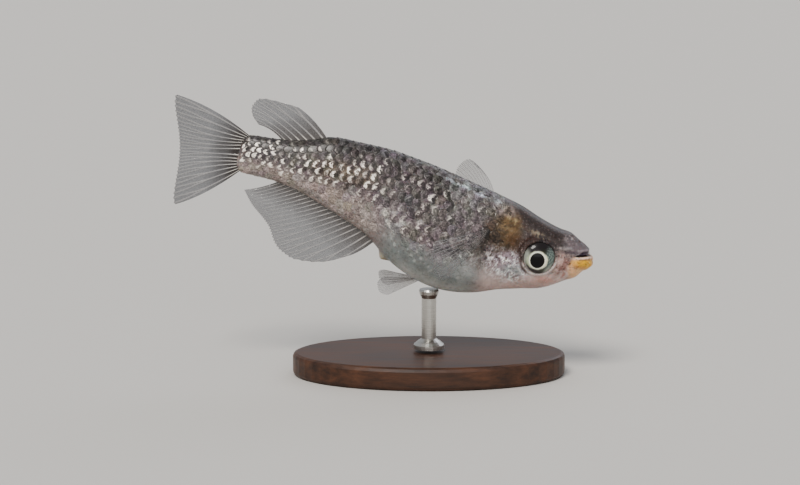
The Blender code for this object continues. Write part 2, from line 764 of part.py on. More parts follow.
def shade():
    """Smooth shading, with creases where faces meet at more than a shallow angle."""
    for obj in bpy.data.objects:
        if obj.type == "MESH" and obj.data.polygons:
            obj.data.shade_smooth()
            obj.data.set_sharp_from_angle(angle=math.radians(40))


def main():
    clear_scene()
    fish = [head(), lower_jaw(), trunk(), tail()]
    fish += [eye("eye_left", 1), eye("eye_right", -1)]
    fish.append(median_fin("dorsal_fin", DORSAL_ROOT, DORSAL_RAYS, DORSAL_TIPS, True, DORSAL_BOW))
    fish.append(median_fin("anal_fin", ANAL_ROOT, ANAL_RAYS, ANAL_TIPS, False, ANAL_BOW))
    fish.append(caudal_fin())
    fish.append(pectoral_fin("pectoral_fin_left", 1, PECTORAL_LEFT))
    fish.append(pectoral_fin("pectoral_fin_right", -1, PECTORAL_RIGHT))
    fish.append(pelvic_fin("pelvic_fin_left", 1, PELVIC_LEFT))
    fish.append(pelvic_fin("pelvic_fin_right", -1, PELVIC_RIGHT))
    carry(fish)
    stand_base()
    stand_rod()
    shade()


main()
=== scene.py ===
"""The looks of a Japanese rice fish on its display stand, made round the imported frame.

Metres, +Z up, the head towards +X. As in the part's own source, the fish is shaped in a frame of its own:
`along` runs back from the tip of the snout, `side` to the fish's left and `up` to its back.
"""

import math

import bpy
import numpy as np
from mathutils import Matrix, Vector


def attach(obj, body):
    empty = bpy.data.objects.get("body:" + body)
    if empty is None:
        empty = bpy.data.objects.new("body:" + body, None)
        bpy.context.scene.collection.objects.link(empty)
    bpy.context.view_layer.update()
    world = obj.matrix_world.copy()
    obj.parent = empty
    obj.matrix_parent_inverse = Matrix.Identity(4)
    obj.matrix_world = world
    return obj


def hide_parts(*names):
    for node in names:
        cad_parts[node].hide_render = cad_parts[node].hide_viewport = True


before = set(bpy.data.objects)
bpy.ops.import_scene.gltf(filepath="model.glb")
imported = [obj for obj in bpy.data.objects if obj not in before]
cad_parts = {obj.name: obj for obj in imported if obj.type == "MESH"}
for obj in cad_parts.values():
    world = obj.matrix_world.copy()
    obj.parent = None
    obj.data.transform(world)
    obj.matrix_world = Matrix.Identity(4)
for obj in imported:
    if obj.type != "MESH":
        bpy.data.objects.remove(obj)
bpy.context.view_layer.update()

MM = 0.001
GAP = 0.3 * MM

# The camera stands where the photograph was taken from: a little above the fish's right side.
VIEW_WIDTH = 800
VIEW_HEIGHT = 485
SENSOR = 36.0
CLIP_START = 5 * MM
CLIP_END = 5.0
PIXELS_PER_METRE = 11440.0  # at the snout
CAMERA_AWAY = 165 * MM
CAMERA_ELEVATION = math.radians(9)
SNOUT_PIXEL = (592.0, 258.0)
SNOUT_UP = -0.15 * MM  # the height on the snout that this pixel shows

# The body, with the same named sizes as in the part's source.
BODY_LENGTH = 32.2 * MM
PITCH = math.radians(16)
BASE_THICKNESS = 2.0 * MM
ROD_SHOWS = 5.6 * MM
BALANCE_ALONG = 13.0 * MM
# In millimetres: along, height of the back, height of the belly, half width, then the share of the depth
# at which it is widest, and how square its back is.
STATIONS = (
    (0.0, 0.50, -1.02, 1.08, 0.50, 2.3),
    (0.5, 0.70, -1.33, 1.28, 0.50, 2.4),
    (0.9, 0.85, -1.66, 1.42, 0.50, 2.5),
    (1.5, 1.08, -2.40, 1.60, 0.51, 2.6),
    (2.3, 1.46, -3.10, 1.80, 0.52, 2.7),
    (3.3, 1.54, -3.78, 2.05, 0.52, 2.9),
    (5.3, 1.98, -4.48, 2.35, 0.52, 2.8),
    (7.0, 2.52, -5.05, 2.62, 0.50, 2.4),
    (9.2, 2.94, -5.98, 2.82, 0.48, 2.1),
    (12.2, 3.38, -6.50, 2.95, 0.45, 2.0),
    (15.0, 3.78, -6.08, 2.75, 0.46, 2.0),
    (17.6, 4.02, -4.96, 2.42, 0.48, 2.0),
    (19.2, 4.10, -3.86, 2.18, 0.50, 2.0),
    (22.2, 3.96, -2.76, 1.78, 0.50, 2.0),
    (24.6, 3.72, -2.06, 1.48, 0.50, 2.0),
    (26.6, 2.88, -1.58, 1.24, 0.50, 2.0),
    (28.6, 2.30, -1.40, 1.04, 0.50, 2.0),
    (30.6, 2.00, -1.48, 0.84, 0.50, 2.0),
    (32.2, 1.80, -1.58, 0.62, 0.50, 2.0),
)
BELLY_SQUARENESS = 2.1
SNOUT_ROUND = 0.95 * MM
CHIN_ROUND = 0.5 * MM
CHIN_SQUARENESS = 2.6
TIP_UP = -0.26 * MM
UPPER_LIP_BACK = 0.17 * MM
LOWER_LIP_AHEAD = 0.08 * MM
LIPS_FADE = 1.2 * MM
TAIL_ROUND = 1.1 * MM
TAIL_SQUARENESS = 3.0
TAIL_SWAY = 2.2 * MM
TAIL_SWAY_FROM = 12 * MM
TAIL_SWAY_TO = 38 * MM
HEAD_SWAY = -0.25 * MM
HEAD_SWAY_TO = 9 * MM
SKIN_TURNS = 216  # points round the skin's grid

EYE_ALONG = 4.68 * MM
EYE_UP = -1.14 * MM
EYE_SIDE = 1.80 * MM
EYE_TAPER = 0.15  # the eye stands out less in front, as the head does
EYE_RADIUS = 1.50 * MM
EYE_BULGE = 0.90 * MM
SOCKET_RADIUS = 1.40 * MM
PUPIL_RADIUS = 0.61 * MM
CORNEA = 0.04 * MM  # how far it stands out over the pupil
EYE_RINGS = 80
EYE_TURNS = 120
GAZE = (0.13 * MM, -0.20 * MM)  # the iris sits this far back and down from the middle of the eye

MOUTH_CORNER = (1.60 * MM, -0.27 * MM)
MOUTH_TIP_UP = 0.19 * MM
MOUTH_TIP_DIP = 0.17 * MM
MOUTH_DIP_REACH = 0.38 * MM
GILL_PLATE = (6.95 * MM, -2.35 * MM)  # the middle of the gill cover's plate
GILL_PLATE_SIZE = (2.35 * MM, 1.80 * MM)  # its half length and half height
NOSTRILS = ((1.55 * MM, 0.78 * MM, 0.13 * MM), (2.25 * MM, 0.92 * MM, 0.16 * MM))
PAPILLA = (17.55 * MM, 0.42 * MM)
VENT_ALONG = 18.3 * MM

# The scales, in rows along the body.
SCALE_ROWS = 16
BARE_BELLY_ROWS = 4.2
SCALES_FROM = 8.2 * MM
SCALES_TO = 31.9 * MM
GIRTHS_FROM = 6 * MM
GIRTHS_TO = 32 * MM
GIRTH_PLACES = 260
GIRTH_TURNS = 241
GIRTH_SHARES = 201
# Where a plate's grid lines lie along it and across it: close together at its rim.
PLATE_RUN = np.array([0.0, 0.35, 0.65, 0.85, 0.97, 1.0])
PLATE_WIDTH = np.array([-1.0, -0.95, -0.72, -0.4, 0.0, 0.4, 0.72, 0.95, 1.0])
PLATE_LENGTH = 1.75  # in distances from scale to scale
PLATE_HEIGHT = 1.30  # in distances from row to row
PLATE_AHEAD = 0.42  # share of its length that lies ahead of its root
PLATE_LIMITS = (6.2 * MM, 32.0 * MM)  # no plate reaches past these places along
PLATE_FLOOR = -0.05  # how far over the skin its underside lies, in millimetres
BAKE_HEIGHT = 28 * MM  # girth of the skin that fills the height of the bake map

# The kinds of node that are used most, and settings that many nodes share.
MATH = "ShaderNodeMath"
VECTOR_MATH = "ShaderNodeVectorMath"
RANGE = "ShaderNodeMapRange"
MIX = "ShaderNodeMix"
NOISE = "ShaderNodeTexNoise"
ATTRIBUTE = "ShaderNodeAttribute"
COORDINATES = "ShaderNodeTexCoord"  # its Object output gives places in metres
ADD = {"operation": "ADD"}
SUBTRACT = {"operation": "SUBTRACT"}
MULTIPLY = {"operation": "MULTIPLY"}
MULTIPLY_ADD = {"operation": "MULTIPLY_ADD"}
SCALE = {"operation": "SCALE"}
COLOUR_MIX = {"data_type": "RGBA"}
COLOUR_MULTIPLY = {"data_type": "RGBA", "blend_type": "MULTIPLY"}
COLOUR_SCREEN = {"data_type": "RGBA", "blend_type": "SCREEN"}


def linear(colour):
    """An sRGB hex colour as linear red, green, blue and 1."""
    values = [int(colour[i : i + 2], 16) / 255 for i in (1, 3, 5)]
    return [v / 12.92 if v <= 0.04045 else ((v + 0.055) / 1.055) ** 2.4 for v in values] + [1.0]


def smooth(table, at, column):
    """Reads a column of a table at any place, by a cubic that passes through every row."""
    rows = np.array(table)
    x, y = rows[:, 0], rows[:, column]
    slopes = np.gradient(y, x)
    at = np.clip(at, x[0], x[-1])
    i = np.clip(np.searchsorted(x, at) - 1, 0, len(x) - 2)
    step = x[i + 1] - x[i]
    t = (at - x[i]) / step
    return (
        (2 * t**3 - 3 * t**2 + 1) * y[i]
        + (t**3 - 2 * t**2 + t) * step * slopes[i]
        + (3 * t**2 - 2 * t**3) * y[i + 1]
        + (t**3 - t**2) * step * slopes[i + 1]
    )


def ramp(value, start, end):
    """0 at start and 1 at end, with a smooth S between them; start may lie past end."""
    t = np.clip((value - start) / (end - start), 0, 1)
    return t * t * (3 - 2 * t)


def span(value, start, full, fade, end):
    """1 between full and fade, running out smoothly to 0 at start and at end."""
    return ramp(value, start, full) * ramp(value, end, fade)


def bell(value, middle, width):
    """1 at the middle, falling off as a Gaussian of that width."""
    return np.exp(-(((value - middle) / width) ** 2))


def block(value, middle, width):
    """Like a bell, but flat on top and steep at its sides."""
    return np.exp(-(((value - middle) / width) ** 4))


def sway(along):
    """How far the middle of the body lies to the fish's left: a parabola each for the tail and the head."""
    tail = np.clip((along - TAIL_SWAY_FROM) / (TAIL_SWAY_TO - TAIL_SWAY_FROM), 0, None)
    head = np.clip((HEAD_SWAY_TO - along) / HEAD_SWAY_TO, 0, None)
    return TAIL_SWAY * tail**2 + HEAD_SWAY * head**2


def rounding(from_end, length, squareness):
    """Share of its full size that a section keeps where the body rounds off towards an end."""
    left = np.clip(1 - from_end / length, 0, 1)
    return (1 - left**squareness) ** (1 / squareness)


def section(along):
    """The back's height, the belly's, the height of the widest line, the half width and the squareness.

    All are read from the stations, and shrink to a point at the snout, bluntly below and like a quarter
    circle above, and by a squarer quarter at the tail's end.
    """
    mm = along / MM
    back, belly = smooth(STATIONS, mm, 1) * MM, smooth(STATIONS, mm, 2) * MM
    widest = belly + (back - belly) * smooth(STATIONS, mm, 4)
    nose = np.clip(1 - along / SNOUT_ROUND, 0, 1) ** 2
    middle = widest + (TIP_UP - widest) * nose
    end = rounding(BODY_LENGTH - along, TAIL_ROUND, TAIL_SQUARENESS)
    above = rounding(along, SNOUT_ROUND, 2) * end
    below = rounding(along, CHIN_ROUND, CHIN_SQUARENESS) * end
    half = smooth(STATIONS, mm, 3) * MM * above
    squareness = smooth(STATIONS, mm, 5)
    return middle + (back - middle) * above, middle + (belly - middle) * below, middle, half, squareness


def depth_share(along, up):
    """How high on the flank a place lies: 0 on the belly's line and 1 on the back's."""
    back, belly = section(along)[:2]
    return np.clip((up - belly) / np.maximum(back - belly, 1e-9), 0, 1)


def body_point(along, turn):
    """Side and up of the plain body: a superellipse in each section, squarer above than below."""
    back, belly, middle, half, squareness = section(along)
    c, s = np.cos(turn), np.sin(turn)
    power = np.where(s > 0, squareness, BELLY_SQUARENESS)
    reach = np.where(s > 0, back - middle, middle - belly)
    side = half * np.sign(c) * np.abs(c) ** (2 / power)
    return side, middle + reach * np.sign(s) * np.abs(s) ** (2 / power)


def place(along, side, up):
    """Points in the fish's own frame, head towards +X, with the sway."""
    along, side, up = np.broadcast_arrays(along, side, up)
    return np.stack([-along, side + sway(along), up], axis=-1)


def to_world(points):
    """The fish's own frame tipped head down by the pitch and set with its belly over the rod."""
    c, s = math.cos(PITCH), math.sin(PITCH)
    belly = float(section(np.array(BALANCE_ALONG))[1])
    shift_x = BALANCE_ALONG * c - belly * s
    shift_z = BASE_THICKNESS + ROD_SHOWS + GAP - (BALANCE_ALONG * s + belly * c)
    x, y, z = points[..., 0], points[..., 1], points[..., 2]
    return np.stack([x * c + z * s + shift_x, y, -x * s + z * c + shift_z], axis=-1)


def mouth_up(along):
    """Height of the mouth's line: straight forwards from its corner, then dipping over the jaw's tip."""
    dip = MOUTH_TIP_DIP * np.clip(1 - along / MOUTH_DIP_REACH, 0, 1) ** 2
    return MOUTH_TIP_UP + (MOUTH_CORNER[1] - MOUTH_TIP_UP) * along / MOUTH_CORNER[0] - dip


def plate_distance(along, up):
    """How far outside the gill cover's rounded plate a place lies, in half sizes of the plate less 1."""
    a = np.abs(along - GILL_PLATE[0]) / GILL_PLATE_SIZE[0]
    u = np.abs(up - GILL_PLATE[1]) / GILL_PLATE_SIZE[1]
    return (a**2.4 + u**2.4) ** (1 / 2.4) - 1


def jaw_line(up):
    """How far back the lower jaw's rear edge lies at a height below the mouth's corner."""
    fall = np.clip((MOUTH_CORNER[1] - up) / MM, 0, None)
    return MOUTH_CORNER[0] + (0.42 * fall + 0.02 * fall**2) * MM


def relief(along, side, up):
    """How far the skin stands out from the plain body, as a sum of soft steps, grooves and swellings.

    All the numbers here are in millimetres.
    """
    s, h, aside = along / MM, up / MM, np.abs(side) / MM
    depth = depth_share(along, up)
    over = h - mouth_up(along) / MM
    corner = MOUTH_CORNER[0] / MM
    lips = ramp(s, corner + 0.15, corner - 0.25) * (
        0.07 * bell(over, 0.50, 0.13)
        + 0.07 * (0.25 + 0.75 * ramp(s, 0.05, 0.45)) * bell(over, -0.13, 0.11)
        + 0.16 * bell(over, -0.72, 0.36)
        + 0.06 * bell(np.hypot(s - 0.36, h + 1.12), 0, 0.34)
        - 0.34 * block(over, 0.04, 0.08)
        - 0.10 * ramp(s, 0.2, 0.45) * bell(over, 0.23, 0.15)
        - 0.03 * bell(over, -0.34, 0.08)
    )
    chin = 0.27 * ramp(depth, 0.50, 0.15) * bell(np.hypot(s - 1.10, h + 1.85), 0, 0.70)
    notch = -0.08 * bell(np.hypot(s - 0.52, 0.7 * (h + 1.45)), 0, 0.13)
    behind = s - jaw_line(up) / MM
    jaw = 0.03 * bell(behind, -0.40, 0.30) - 0.045 * bell(behind, 0.0, 0.20)
    jaw = jaw * ramp(over, 0.0, -0.25) * ramp(h, -3.1, -2.4)

    from_rim = (np.hypot(along - EYE_ALONG, up - EYE_UP) - SOCKET_RADIUS) / MM
    socket = 0.045 * bell(from_rim, 0.10, 0.13) - 0.03 * bell(from_rim, 0.40, 0.12)
    socket = ramp(aside, 0.8, 1.4) * (socket - 0.85 * ramp(from_rim, 0.0, -0.22))

    outside = plate_distance(along, up)
    step = ramp(outside, 0.0, 0.07) * np.exp(-np.clip(outside, 0, None) / 0.30) * (s > 4.4)
    rear = ramp((along - GILL_PLATE[0]) / MM, -0.6, 0.6)
    lower = ramp((up - GILL_PLATE[1]) / MM, -0.4, -1.2)
    edge = np.maximum(rear, 0.25 * lower) * (0.25 + 0.75 * ramp(h, -4.2, -3.0))
    cheek = span(h, -4.3, -3.9, -2.4, -1.6) * bell(np.hypot(s - 5.2, 0.8 * (h + 1.6)), 2.0, 0.10)
    gill = ramp(aside, 0.2, 0.9) * (0.05 * ramp(outside, 0.0, -0.5) - 0.12 * step * edge - 0.06 * cheek)

    nostrils = 0.0
    for nostril_along, nostril_side, radius in NOSTRILS:
        away = np.hypot(along - nostril_along, np.abs(side) - nostril_side) / radius
        nostrils = nostrils + 0.03 * bell(away, 1.25, 0.35) - 0.16 * ramp(away, 1.0, 0.5)
    nostrils = nostrils * ramp(h, 0.3, 0.6)

    papilla = np.hypot((along - PAPILLA[0]) / 1.25, side) / PAPILLA[1]
    vent = ramp(h, -3.9, -4.4) * (0.42 * bell(papilla, 0, 0.75) - 0.04 * bell(papilla, 1.3, 0.3))
    return MM * (lips + chin + notch + jaw + socket + gill + nostrils + vent + muscle_folds(s, aside, depth))


def muscle_folds(s, aside, depth):
    """The faint chevrons of the muscle blocks under the skin, one every 0.8 mm, bent at mid flank."""
    wave = np.sin(2 * math.pi * (s + 2.2 * np.abs(depth - 0.5)) / 0.8)
    return 0.008 * wave * span(s, 10, 13, 30, 31) * ramp(depth, 0.45, 0.30) * ramp(aside, 0.2, 0.8)


def skin_point(along, turn):
    """Points and normals of the skin: the plain body, pushed out along its normal by the relief.

    In front the lower jaw is drawn a little ahead and the upper one back, fading out along the head.
    """
    e_along, e_turn = 0.01 * MM, 0.002

    def plain(a, t):
        side, up = body_point(a, t)
        return place(a, side, up)

    side, up = body_point(along, turn)
    a_low, a_high = np.clip(along - e_along, 1e-6, None), np.clip(along + e_along, None, BODY_LENGTH - 1e-7)
    by_along = plain(a_high, turn) - plain(a_low, turn)
    by_turn = plain(along, turn + e_turn) - plain(along, turn - e_turn)
    normal = np.cross(by_along, by_turn)
    normal /= np.linalg.norm(normal, axis=-1, keepdims=True) + 1e-20
    upper_jaw = ramp(up - mouth_up(along), -0.02 * MM, 0.08 * MM)
    ahead = LOWER_LIP_AHEAD - (LOWER_LIP_AHEAD + UPPER_LIP_BACK) * upper_jaw
    tip = ahead * np.clip(1 - along / LIPS_FADE, 0, 1) ** 2
    return place(along - tip, side, up) + normal * relief(along, side, up)[..., None], normal, side, up


def tone(colour):
    """A hex colour as an array of linear red, green and blue."""
    return np.array(linear(colour)[:3])


def lay(base, *layers):
    """Lays colours over a base in turn, each by a mask between 0 and 1."""
    for colour, mask in layers:
        mask = np.clip(mask, 0, 1)[..., None]
        base = base * (1 - mask) + tone(colour) * mask
    return base


def oval_distance(along, up, middle_along, middle_up, half_length, half_height, lean=0.0):
    """How far a place lies from the middle of a leaning oval in side view, 1 at its edge."""
    a, u = along / MM - middle_along, up / MM - middle_up
    c, s = math.cos(lean), math.sin(lean)
    return np.hypot((a * c + u * s) / half_length, (u * c - a * s) / half_height)


def spot(along, up, *patch):
    """A soft oval patch in side view: 1 in its middle and about a third at its edge."""
    return np.exp(-(oval_distance(along, up, *patch) ** 3))


def ripple(along, side, up, scale, seed):
    """Soft mottling, mostly between -1 and 1: a seeded sum of sine waves of about that wavelength."""
    draw = np.random.default_rng(seed)
    total = 0.0
    for _ in range(7):
        ways = draw.normal(size=3)
        ways = ways / np.linalg.norm(ways) * 2 * math.pi / (scale * draw.uniform(0.6, 1.5))
        total = total + np.sin(along * ways[0] + side * ways[1] + up * ways[2] + draw.uniform(0, 6.28))
    return total / 3.5


def markings(along, side, up):
    """The fish's colours anywhere on its body, which skin and scales share.

    Colours are laid over one another from the base outwards. An oval's numbers are its middle along and up,
    its half length and half height, all in millimetres, and the angle by which it leans.
    """

    def cloud(scale, seed):
        return ripple(along, side, up, scale * MM, seed)

    def oval(*patch):
        return spot(along, up, *patch)

    depth = depth_share(along, up)
    s, h = along / MM, up / MM
    crown = h - section(along)[0] / MM
    over = h - mouth_up(along) / MM
    mottle, fine, grain = cloud(2.6, 5), cloud(0.7, 11), cloud(0.35, 23)
    flecks_and_glints = cloud(0.70, 101) + 0.3 * grain

    # The trunk and the tail.
    low_flank = bell(depth, 0.36, 0.17) * span(s, 8.5, 10.5, 17, 20)
    flank = ramp(depth, 0.25, 0.45) * ramp(s, 31, 27)
    belly = ramp(depth + 0.03 * mottle, 0.42, 0.16) * span(s, 8, 10.5, 17, 19)
    glints = ramp(cloud(0.45, 93) + 0.3 * grain, 0.35, 0.90) * ramp(fine, -0.4, 0.5)
    body = lay(
        np.broadcast_to(tone("#676060"), (*np.broadcast(along, side, up).shape, 3)),
        ("#877D7B", ramp(depth, 0.52, 0.22)),
        ("#5E5856", ramp(depth + 0.04 * mottle, 0.60, 0.82)),
        ("#5E5B5A", ramp(depth + 0.04 * mottle, 0.84, 0.97)),
        ("#7C7073", 0.60 * bell(depth, 0.42, 0.16) * span(s, 9, 13, 19, 24)),
        ("#A2958E", 0.75 * ramp(depth, 0.50, 0.18) * ramp(s, 17.5, 21)),
        ("#8E8B8B", 0.60 * oval(11.2, 2.1, 2.8, 0.85, 0.15) * (1 + 0.5 * fine)),
        ("#4A4444", 0.65 * low_flank * ramp(-flecks_and_glints, 0.25, 0.75)),
        # Painted glints: pale chips on the lower flank.
        ("#D2CECA", 0.92 * low_flank * ramp(flecks_and_glints, 0.38, 0.78)),
        ("#8C7962", 0.45 * oval(23.0, 1.2, 3.0, 0.9, -0.1) * (1 + 0.4 * fine)),
        ("#74616D", 0.40 * flank * ramp(cloud(1.0, 83), 0.05, 0.75)),
        ("#6F7267", 0.38 * flank * ramp(cloud(1.2, 97), 0.10, 0.80)),
        ("#403C3A", 0.60 * ramp(depth, 0.70, 0.86) * ramp(s, 20, 23)),
        ("#828684", belly),
        ("#C2C3BD", 0.60 * glints * belly * ramp(depth, 0.08, 0.22)),
        ("#A4A6A4", 0.70 * oval(11.0, -4.0, 1.9, 1.1, 0.1)),
        # Painted light: the bottom edge of the belly is lightened against the shade that falls there.
        ("#C6C6C1", 0.85 * ramp(depth, 0.15, 0.02) * span(s, 7, 10, 15, 18)),
    )

    # The head, which fades into the trunk.
    blush = cloud(0.42, 61)
    face = lay(
        np.broadcast_to(tone("#837875"), body.shape),
        ("#D0BDB6", ramp(depth, 0.46, 0.18)),
        ("#4C4442", ramp(depth, 0.60, 0.80)),
        ("#94858B", oval(7.1, -2.2, 2.1, 1.5)),
        ("#A2AAA8", 0.60 * oval(6.65, -2.85, 1.1, 0.6, -0.2) * (1 + 0.6 * fine)),
        ("#C9B0AA", 0.80 * oval(4.2, -3.6, 2.6, 0.9, -0.35)),
        ("#C4988B", 0.70 * oval(3.6, -2.95, 1.0, 0.40, -0.2)),
        ("#9C837B", 0.80 * oval(2.7, -1.3, 0.9, 1.1)),
        ("#D2B2AA", 0.50 * oval(2.9, -1.4, 0.85, 1.0) * ramp(blush, 0.05, 0.55)),
        ("#7A4F4C", 0.50 * oval(2.6, -1.3, 0.70, 0.95) * ramp(blush, -0.15, -0.65)),
        ("#8A5F57", 0.45 * oval(2.35, -1.2, 0.28, 0.75, 0.25) * (1 + 0.5 * fine)),
        ("#96695A", 0.60 * oval(2.0, -1.95, 0.60, 0.50) * ramp(-blush, 0.00, 0.50)),
        ("#C9ABA4", 0.60 * oval(2.85, -0.85, 0.24, 0.55, 0.2) * (1 + 0.5 * grain)),
        ("#70676A", 0.90 * oval(1.8, 0.5, 1.4, 0.7, 0.35)),
        ("#A69D9C", 0.70 * oval(2.8, 0.22, 0.6, 0.15, -0.2) * (1 + 0.5 * grain)),
        ("#4F434B", 0.75 * oval(2.2, -0.02, 0.75, 0.13, -0.2)),
        ("#2E2628", 0.85 * oval(4.7, 0.22, 1.35, 0.42, 0.12)),
        ("#3A3230", 0.88 * bell(crown, -0.58, 0.42) * span(s, 2.6, 3.4, 8.0, 9.2)),
        ("#4A4341", 0.80 * ramp(crown, -0.28, -0.08) * ramp(s, 2.4, 3.4)),
        ("#A0937F", 0.80 * oval(5.35, 0.78, 0.78, 0.24, 0.18) * ramp(grain + 0.6 * fine, -0.55, 0.35)),
        ("#ABA2A1", 0.60 * oval(2.45, 1.02, 0.60, 0.30, 0.35) * ramp(grain + 0.5 * fine, 0.10, 0.60)),
    )
    head = ramp(s + 0.12 * (h + 1), 9.6, 7.6)[..., None]
    body = body * (1 - head) + face * head

    # The silver of the gill cover, with painted white glints along lines that run where either of two ripples
    # crosses zero, broken up by a third; and the brown patch above it.
    lines = np.maximum(bell(cloud(0.50, 57), 0.0, 0.17), bell(cloud(0.42, 67), 0.0, 0.15))
    gill_glints = lines * ramp(cloud(0.60, 43), -0.50, 0.05)
    on_plate = ramp(plate_distance(along, up), 0.06, -0.03)
    low_plate = on_plate * oval(6.55, -3.15, 1.75, 0.85, -0.2)
    patch = brown_patch(along, up) * (1 + 0.15 * mottle)
    body = lay(
        body,
        # Painted glints over the cover's own silver: white along the lines on its plate and on its lower
        # part.
        ("#FFFAFA", gill_glints * on_plate * oval(7.75, -1.95, 1.70, 1.35, -0.28)),
        ("#6F7070", 0.60 * low_plate * ramp(-flecks_and_glints, 0.10, 0.65)),
        ("#F0F1EF", gill_glints * low_plate),
        ("#625D57", 0.50 * oval(9.9, -2.45, 0.62, 1.15, -0.28) * (1 + 0.3 * fine)),
        ("#3E352D", 0.65 * oval(9.5, -0.9, 1.0, 1.1, 0.4) * (1 + 0.4 * fine)),
        ("#4F3D30", 0.85 * oval(6.5, -0.72, 0.90, 0.58, 0.2) * (1 + 0.2 * fine)),
        ("#4C3C29", 0.97 * patch),
        ("#755F43", 0.85 * oval(7.9, 0.75, 1.1, 1.0, 0.7) * (1 + 0.6 * fine)),
        ("#B3A27C", 0.65 * oval(7.8, 1.35, 0.75, 0.30, 0.5) * ramp(grain, -0.1, 0.5)),
        ("#553A26", 0.70 * oval(6.95, -0.30, 0.85, 0.60, 0.3) * (1 + 0.3 * fine)),
        ("#2A2016", 0.60 * patch * ramp(cloud(0.80, 71) + 0.3 * grain, 0.10, 0.70)),
        ("#9C8981", 0.60 * oval(8.45, 2.0, 0.85, 0.42, 0.05) * (1 + 0.5 * grain)),
        ("#544C4A", 0.60 * oval(10.5, 1.75, 0.95, 0.75, 0.1) * (1 + 0.4 * fine)),
    )

    # The lower jaw, the lips, and painted shade in the dark wedge of the mouth between them and along its
    # slit.
    jaw = ramp(over, 0.05, -0.05) * ramp(s - jaw_line(up) / MM, 0.3, -0.1)
    jaw = jaw * ramp(s - 0.35 * (h + 1.35), 2.2, 1.45)
    mouth_shade_top = 0.44 - 0.36 * ramp(s, 1.10, 1.50)
    mouth_shade = span(over, -0.02, 0.04, mouth_shade_top - 0.08, mouth_shade_top + 0.03) * span(s, 0.36, 0.50, 1.40, 1.60)
    body = lay(
        body,
        ("#C99A60", jaw),
        ("#E0B03C", jaw * (0.85 + 0.3 * fine) * oval(0.72, -0.62, 0.75, 0.36)),
        ("#EBD3C6", 0.92 * jaw * bell(over, -0.13, 0.12)),
        ("#8A6230", 0.60 * jaw * bell(over, -0.31, 0.06) * span(s, 0.25, 0.5, 0.9, 1.3)),
        ("#DDB794", 0.75 * jaw * ramp(h, -0.95, -1.30)),
        ("#E0B48A", 0.60 * jaw * ramp(s, 0.30, 0.02)),
        ("#91868A", 0.80 * ramp(s, 1.75, 1.4) * span(over, 0.02, 0.10, 0.50, 0.66)),
        ("#DCD1CD", 0.85 * ramp(s, 0.50, 0.26) * ramp(over, 0.10, 0.18)),
        # Painted shade: the dark mauve wedge in the recess under the upper lip.
        ("#3B3040", 0.94 * mouth_shade),
        # Painted shade along the mouth's slit, where the lips meet.
        ("#33282F", block(over, 0.03, 0.08) * ramp(s, 1.65, 1.4)),
    )

    # Round the eye, with how far behind and above it a place lies as seen from its middle, and painted shade
    # on the socket's wall just inside its rim; then a painted highlight broken along the nape, and the vent.
    x, y = (along - EYE_ALONG) / MM, (up - EYE_UP) / MM
    from_eye = np.hypot(x, y)
    behind, above = x / (from_eye + 1e-6), y / (from_eye + 1e-6)
    from_rim = from_eye - SOCKET_RADIUS / MM
    lateral = ramp(np.abs(side) / MM, 0.8, 1.4)
    shade = ramp(above, -0.1, 0.5)
    hollow = ramp(from_rim / (0.40 + 0.36 * ramp(above, -0.35, 0.45)), 1.35, 0.65) * ramp(behind, 0.20, 0.60)
    lid = bell(from_rim, 0.09, 0.09) * (0.6 + 0.35 * ramp(behind, -0.3, 0.5))
    lid = lid * (1 - 0.75 * ramp(behind, 0.72, 0.95))
    nape = bell(crown, -0.52, 0.17) * span(s, 8.4, 9.4, 13.2, 15.2)
    papilla = np.hypot((along - PAPILLA[0]) / 1.25, side)
    body = lay(
        body,
        ("#2B2425", 0.85 * lateral * shade * ramp(from_rim, 0.30, 0.0)),
        ("#402F2A", 0.92 * lateral * hollow * (1 + 0.20 * grain)),
        ("#DAD2CD", lateral * (1 - shade) * lid * (1 + 0.4 * fine)),
        # Painted shade on the socket's wall inside the rim, where the eyeball meets the skin.
        ("#5A5150", 0.70 * lateral * ramp(from_rim, 0.01, -0.06)),
        # Painted highlight: a broken bluish-white line along the nape.
        ("#C6CCD2", 0.85 * nape * ramp(grain + 0.5 * fine, -0.2, 0.5)),
        ("#B3A98F", ramp(h, -3.9, -4.4) * bell(papilla, 0, PAPILLA[1])),
    )
    return np.clip(body * (1 + 0.07 * mottle + 0.06 * fine + 0.05 * grain)[..., None], 0.0, 1.0)


def brown_patch(along, up):
    """The brown cloud over the gill cover's upper corner: 1 in its middle, with a soft ragged edge."""
    ragged = 0.10 * ripple(along, 0.0, up, 0.9 * MM, 47)
    return ramp(oval_distance(along, up, 8.25, 0.15, 1.85, 1.60, 0.6) + ragged, 1.20, 0.60)


def speckling(along, up):
    """How strongly dark and pale flecks break up the skin: most on the gill cover, the nape and the snout."""
    depth, s = depth_share(along, up), along / MM
    head = ramp(s, 11, 8.5)
    strength = 0.62 + 0.40 * spot(along, up, 7.4, -2.0, 2.0, 1.4) + 0.3 * spot(along, up, 2.6, -1.2, 1.0, 1.2)
    strength = strength * (1 - 0.5 * (1 - head) * ramp(depth, 0.40, 0.12) * ramp(s, 20, 17))
    strength = strength * (1 - 0.72 * head * ramp(depth, 0.45, 0.18))
    strength = strength * (1 - 0.5 * head * ramp(depth, 0.70, 0.85))
    return np.clip(strength * (1 - 0.6 * brown_patch(along, up)), 0, 1)


def grid_faces(index):
    """Four-sided faces between the numbers of the points of one grid or of many."""
    corners = [index[..., :-1, :-1], index[..., 1:, :-1], index[..., 1:, 1:], index[..., :-1, 1:]]
    return np.stack(corners, axis=-1)


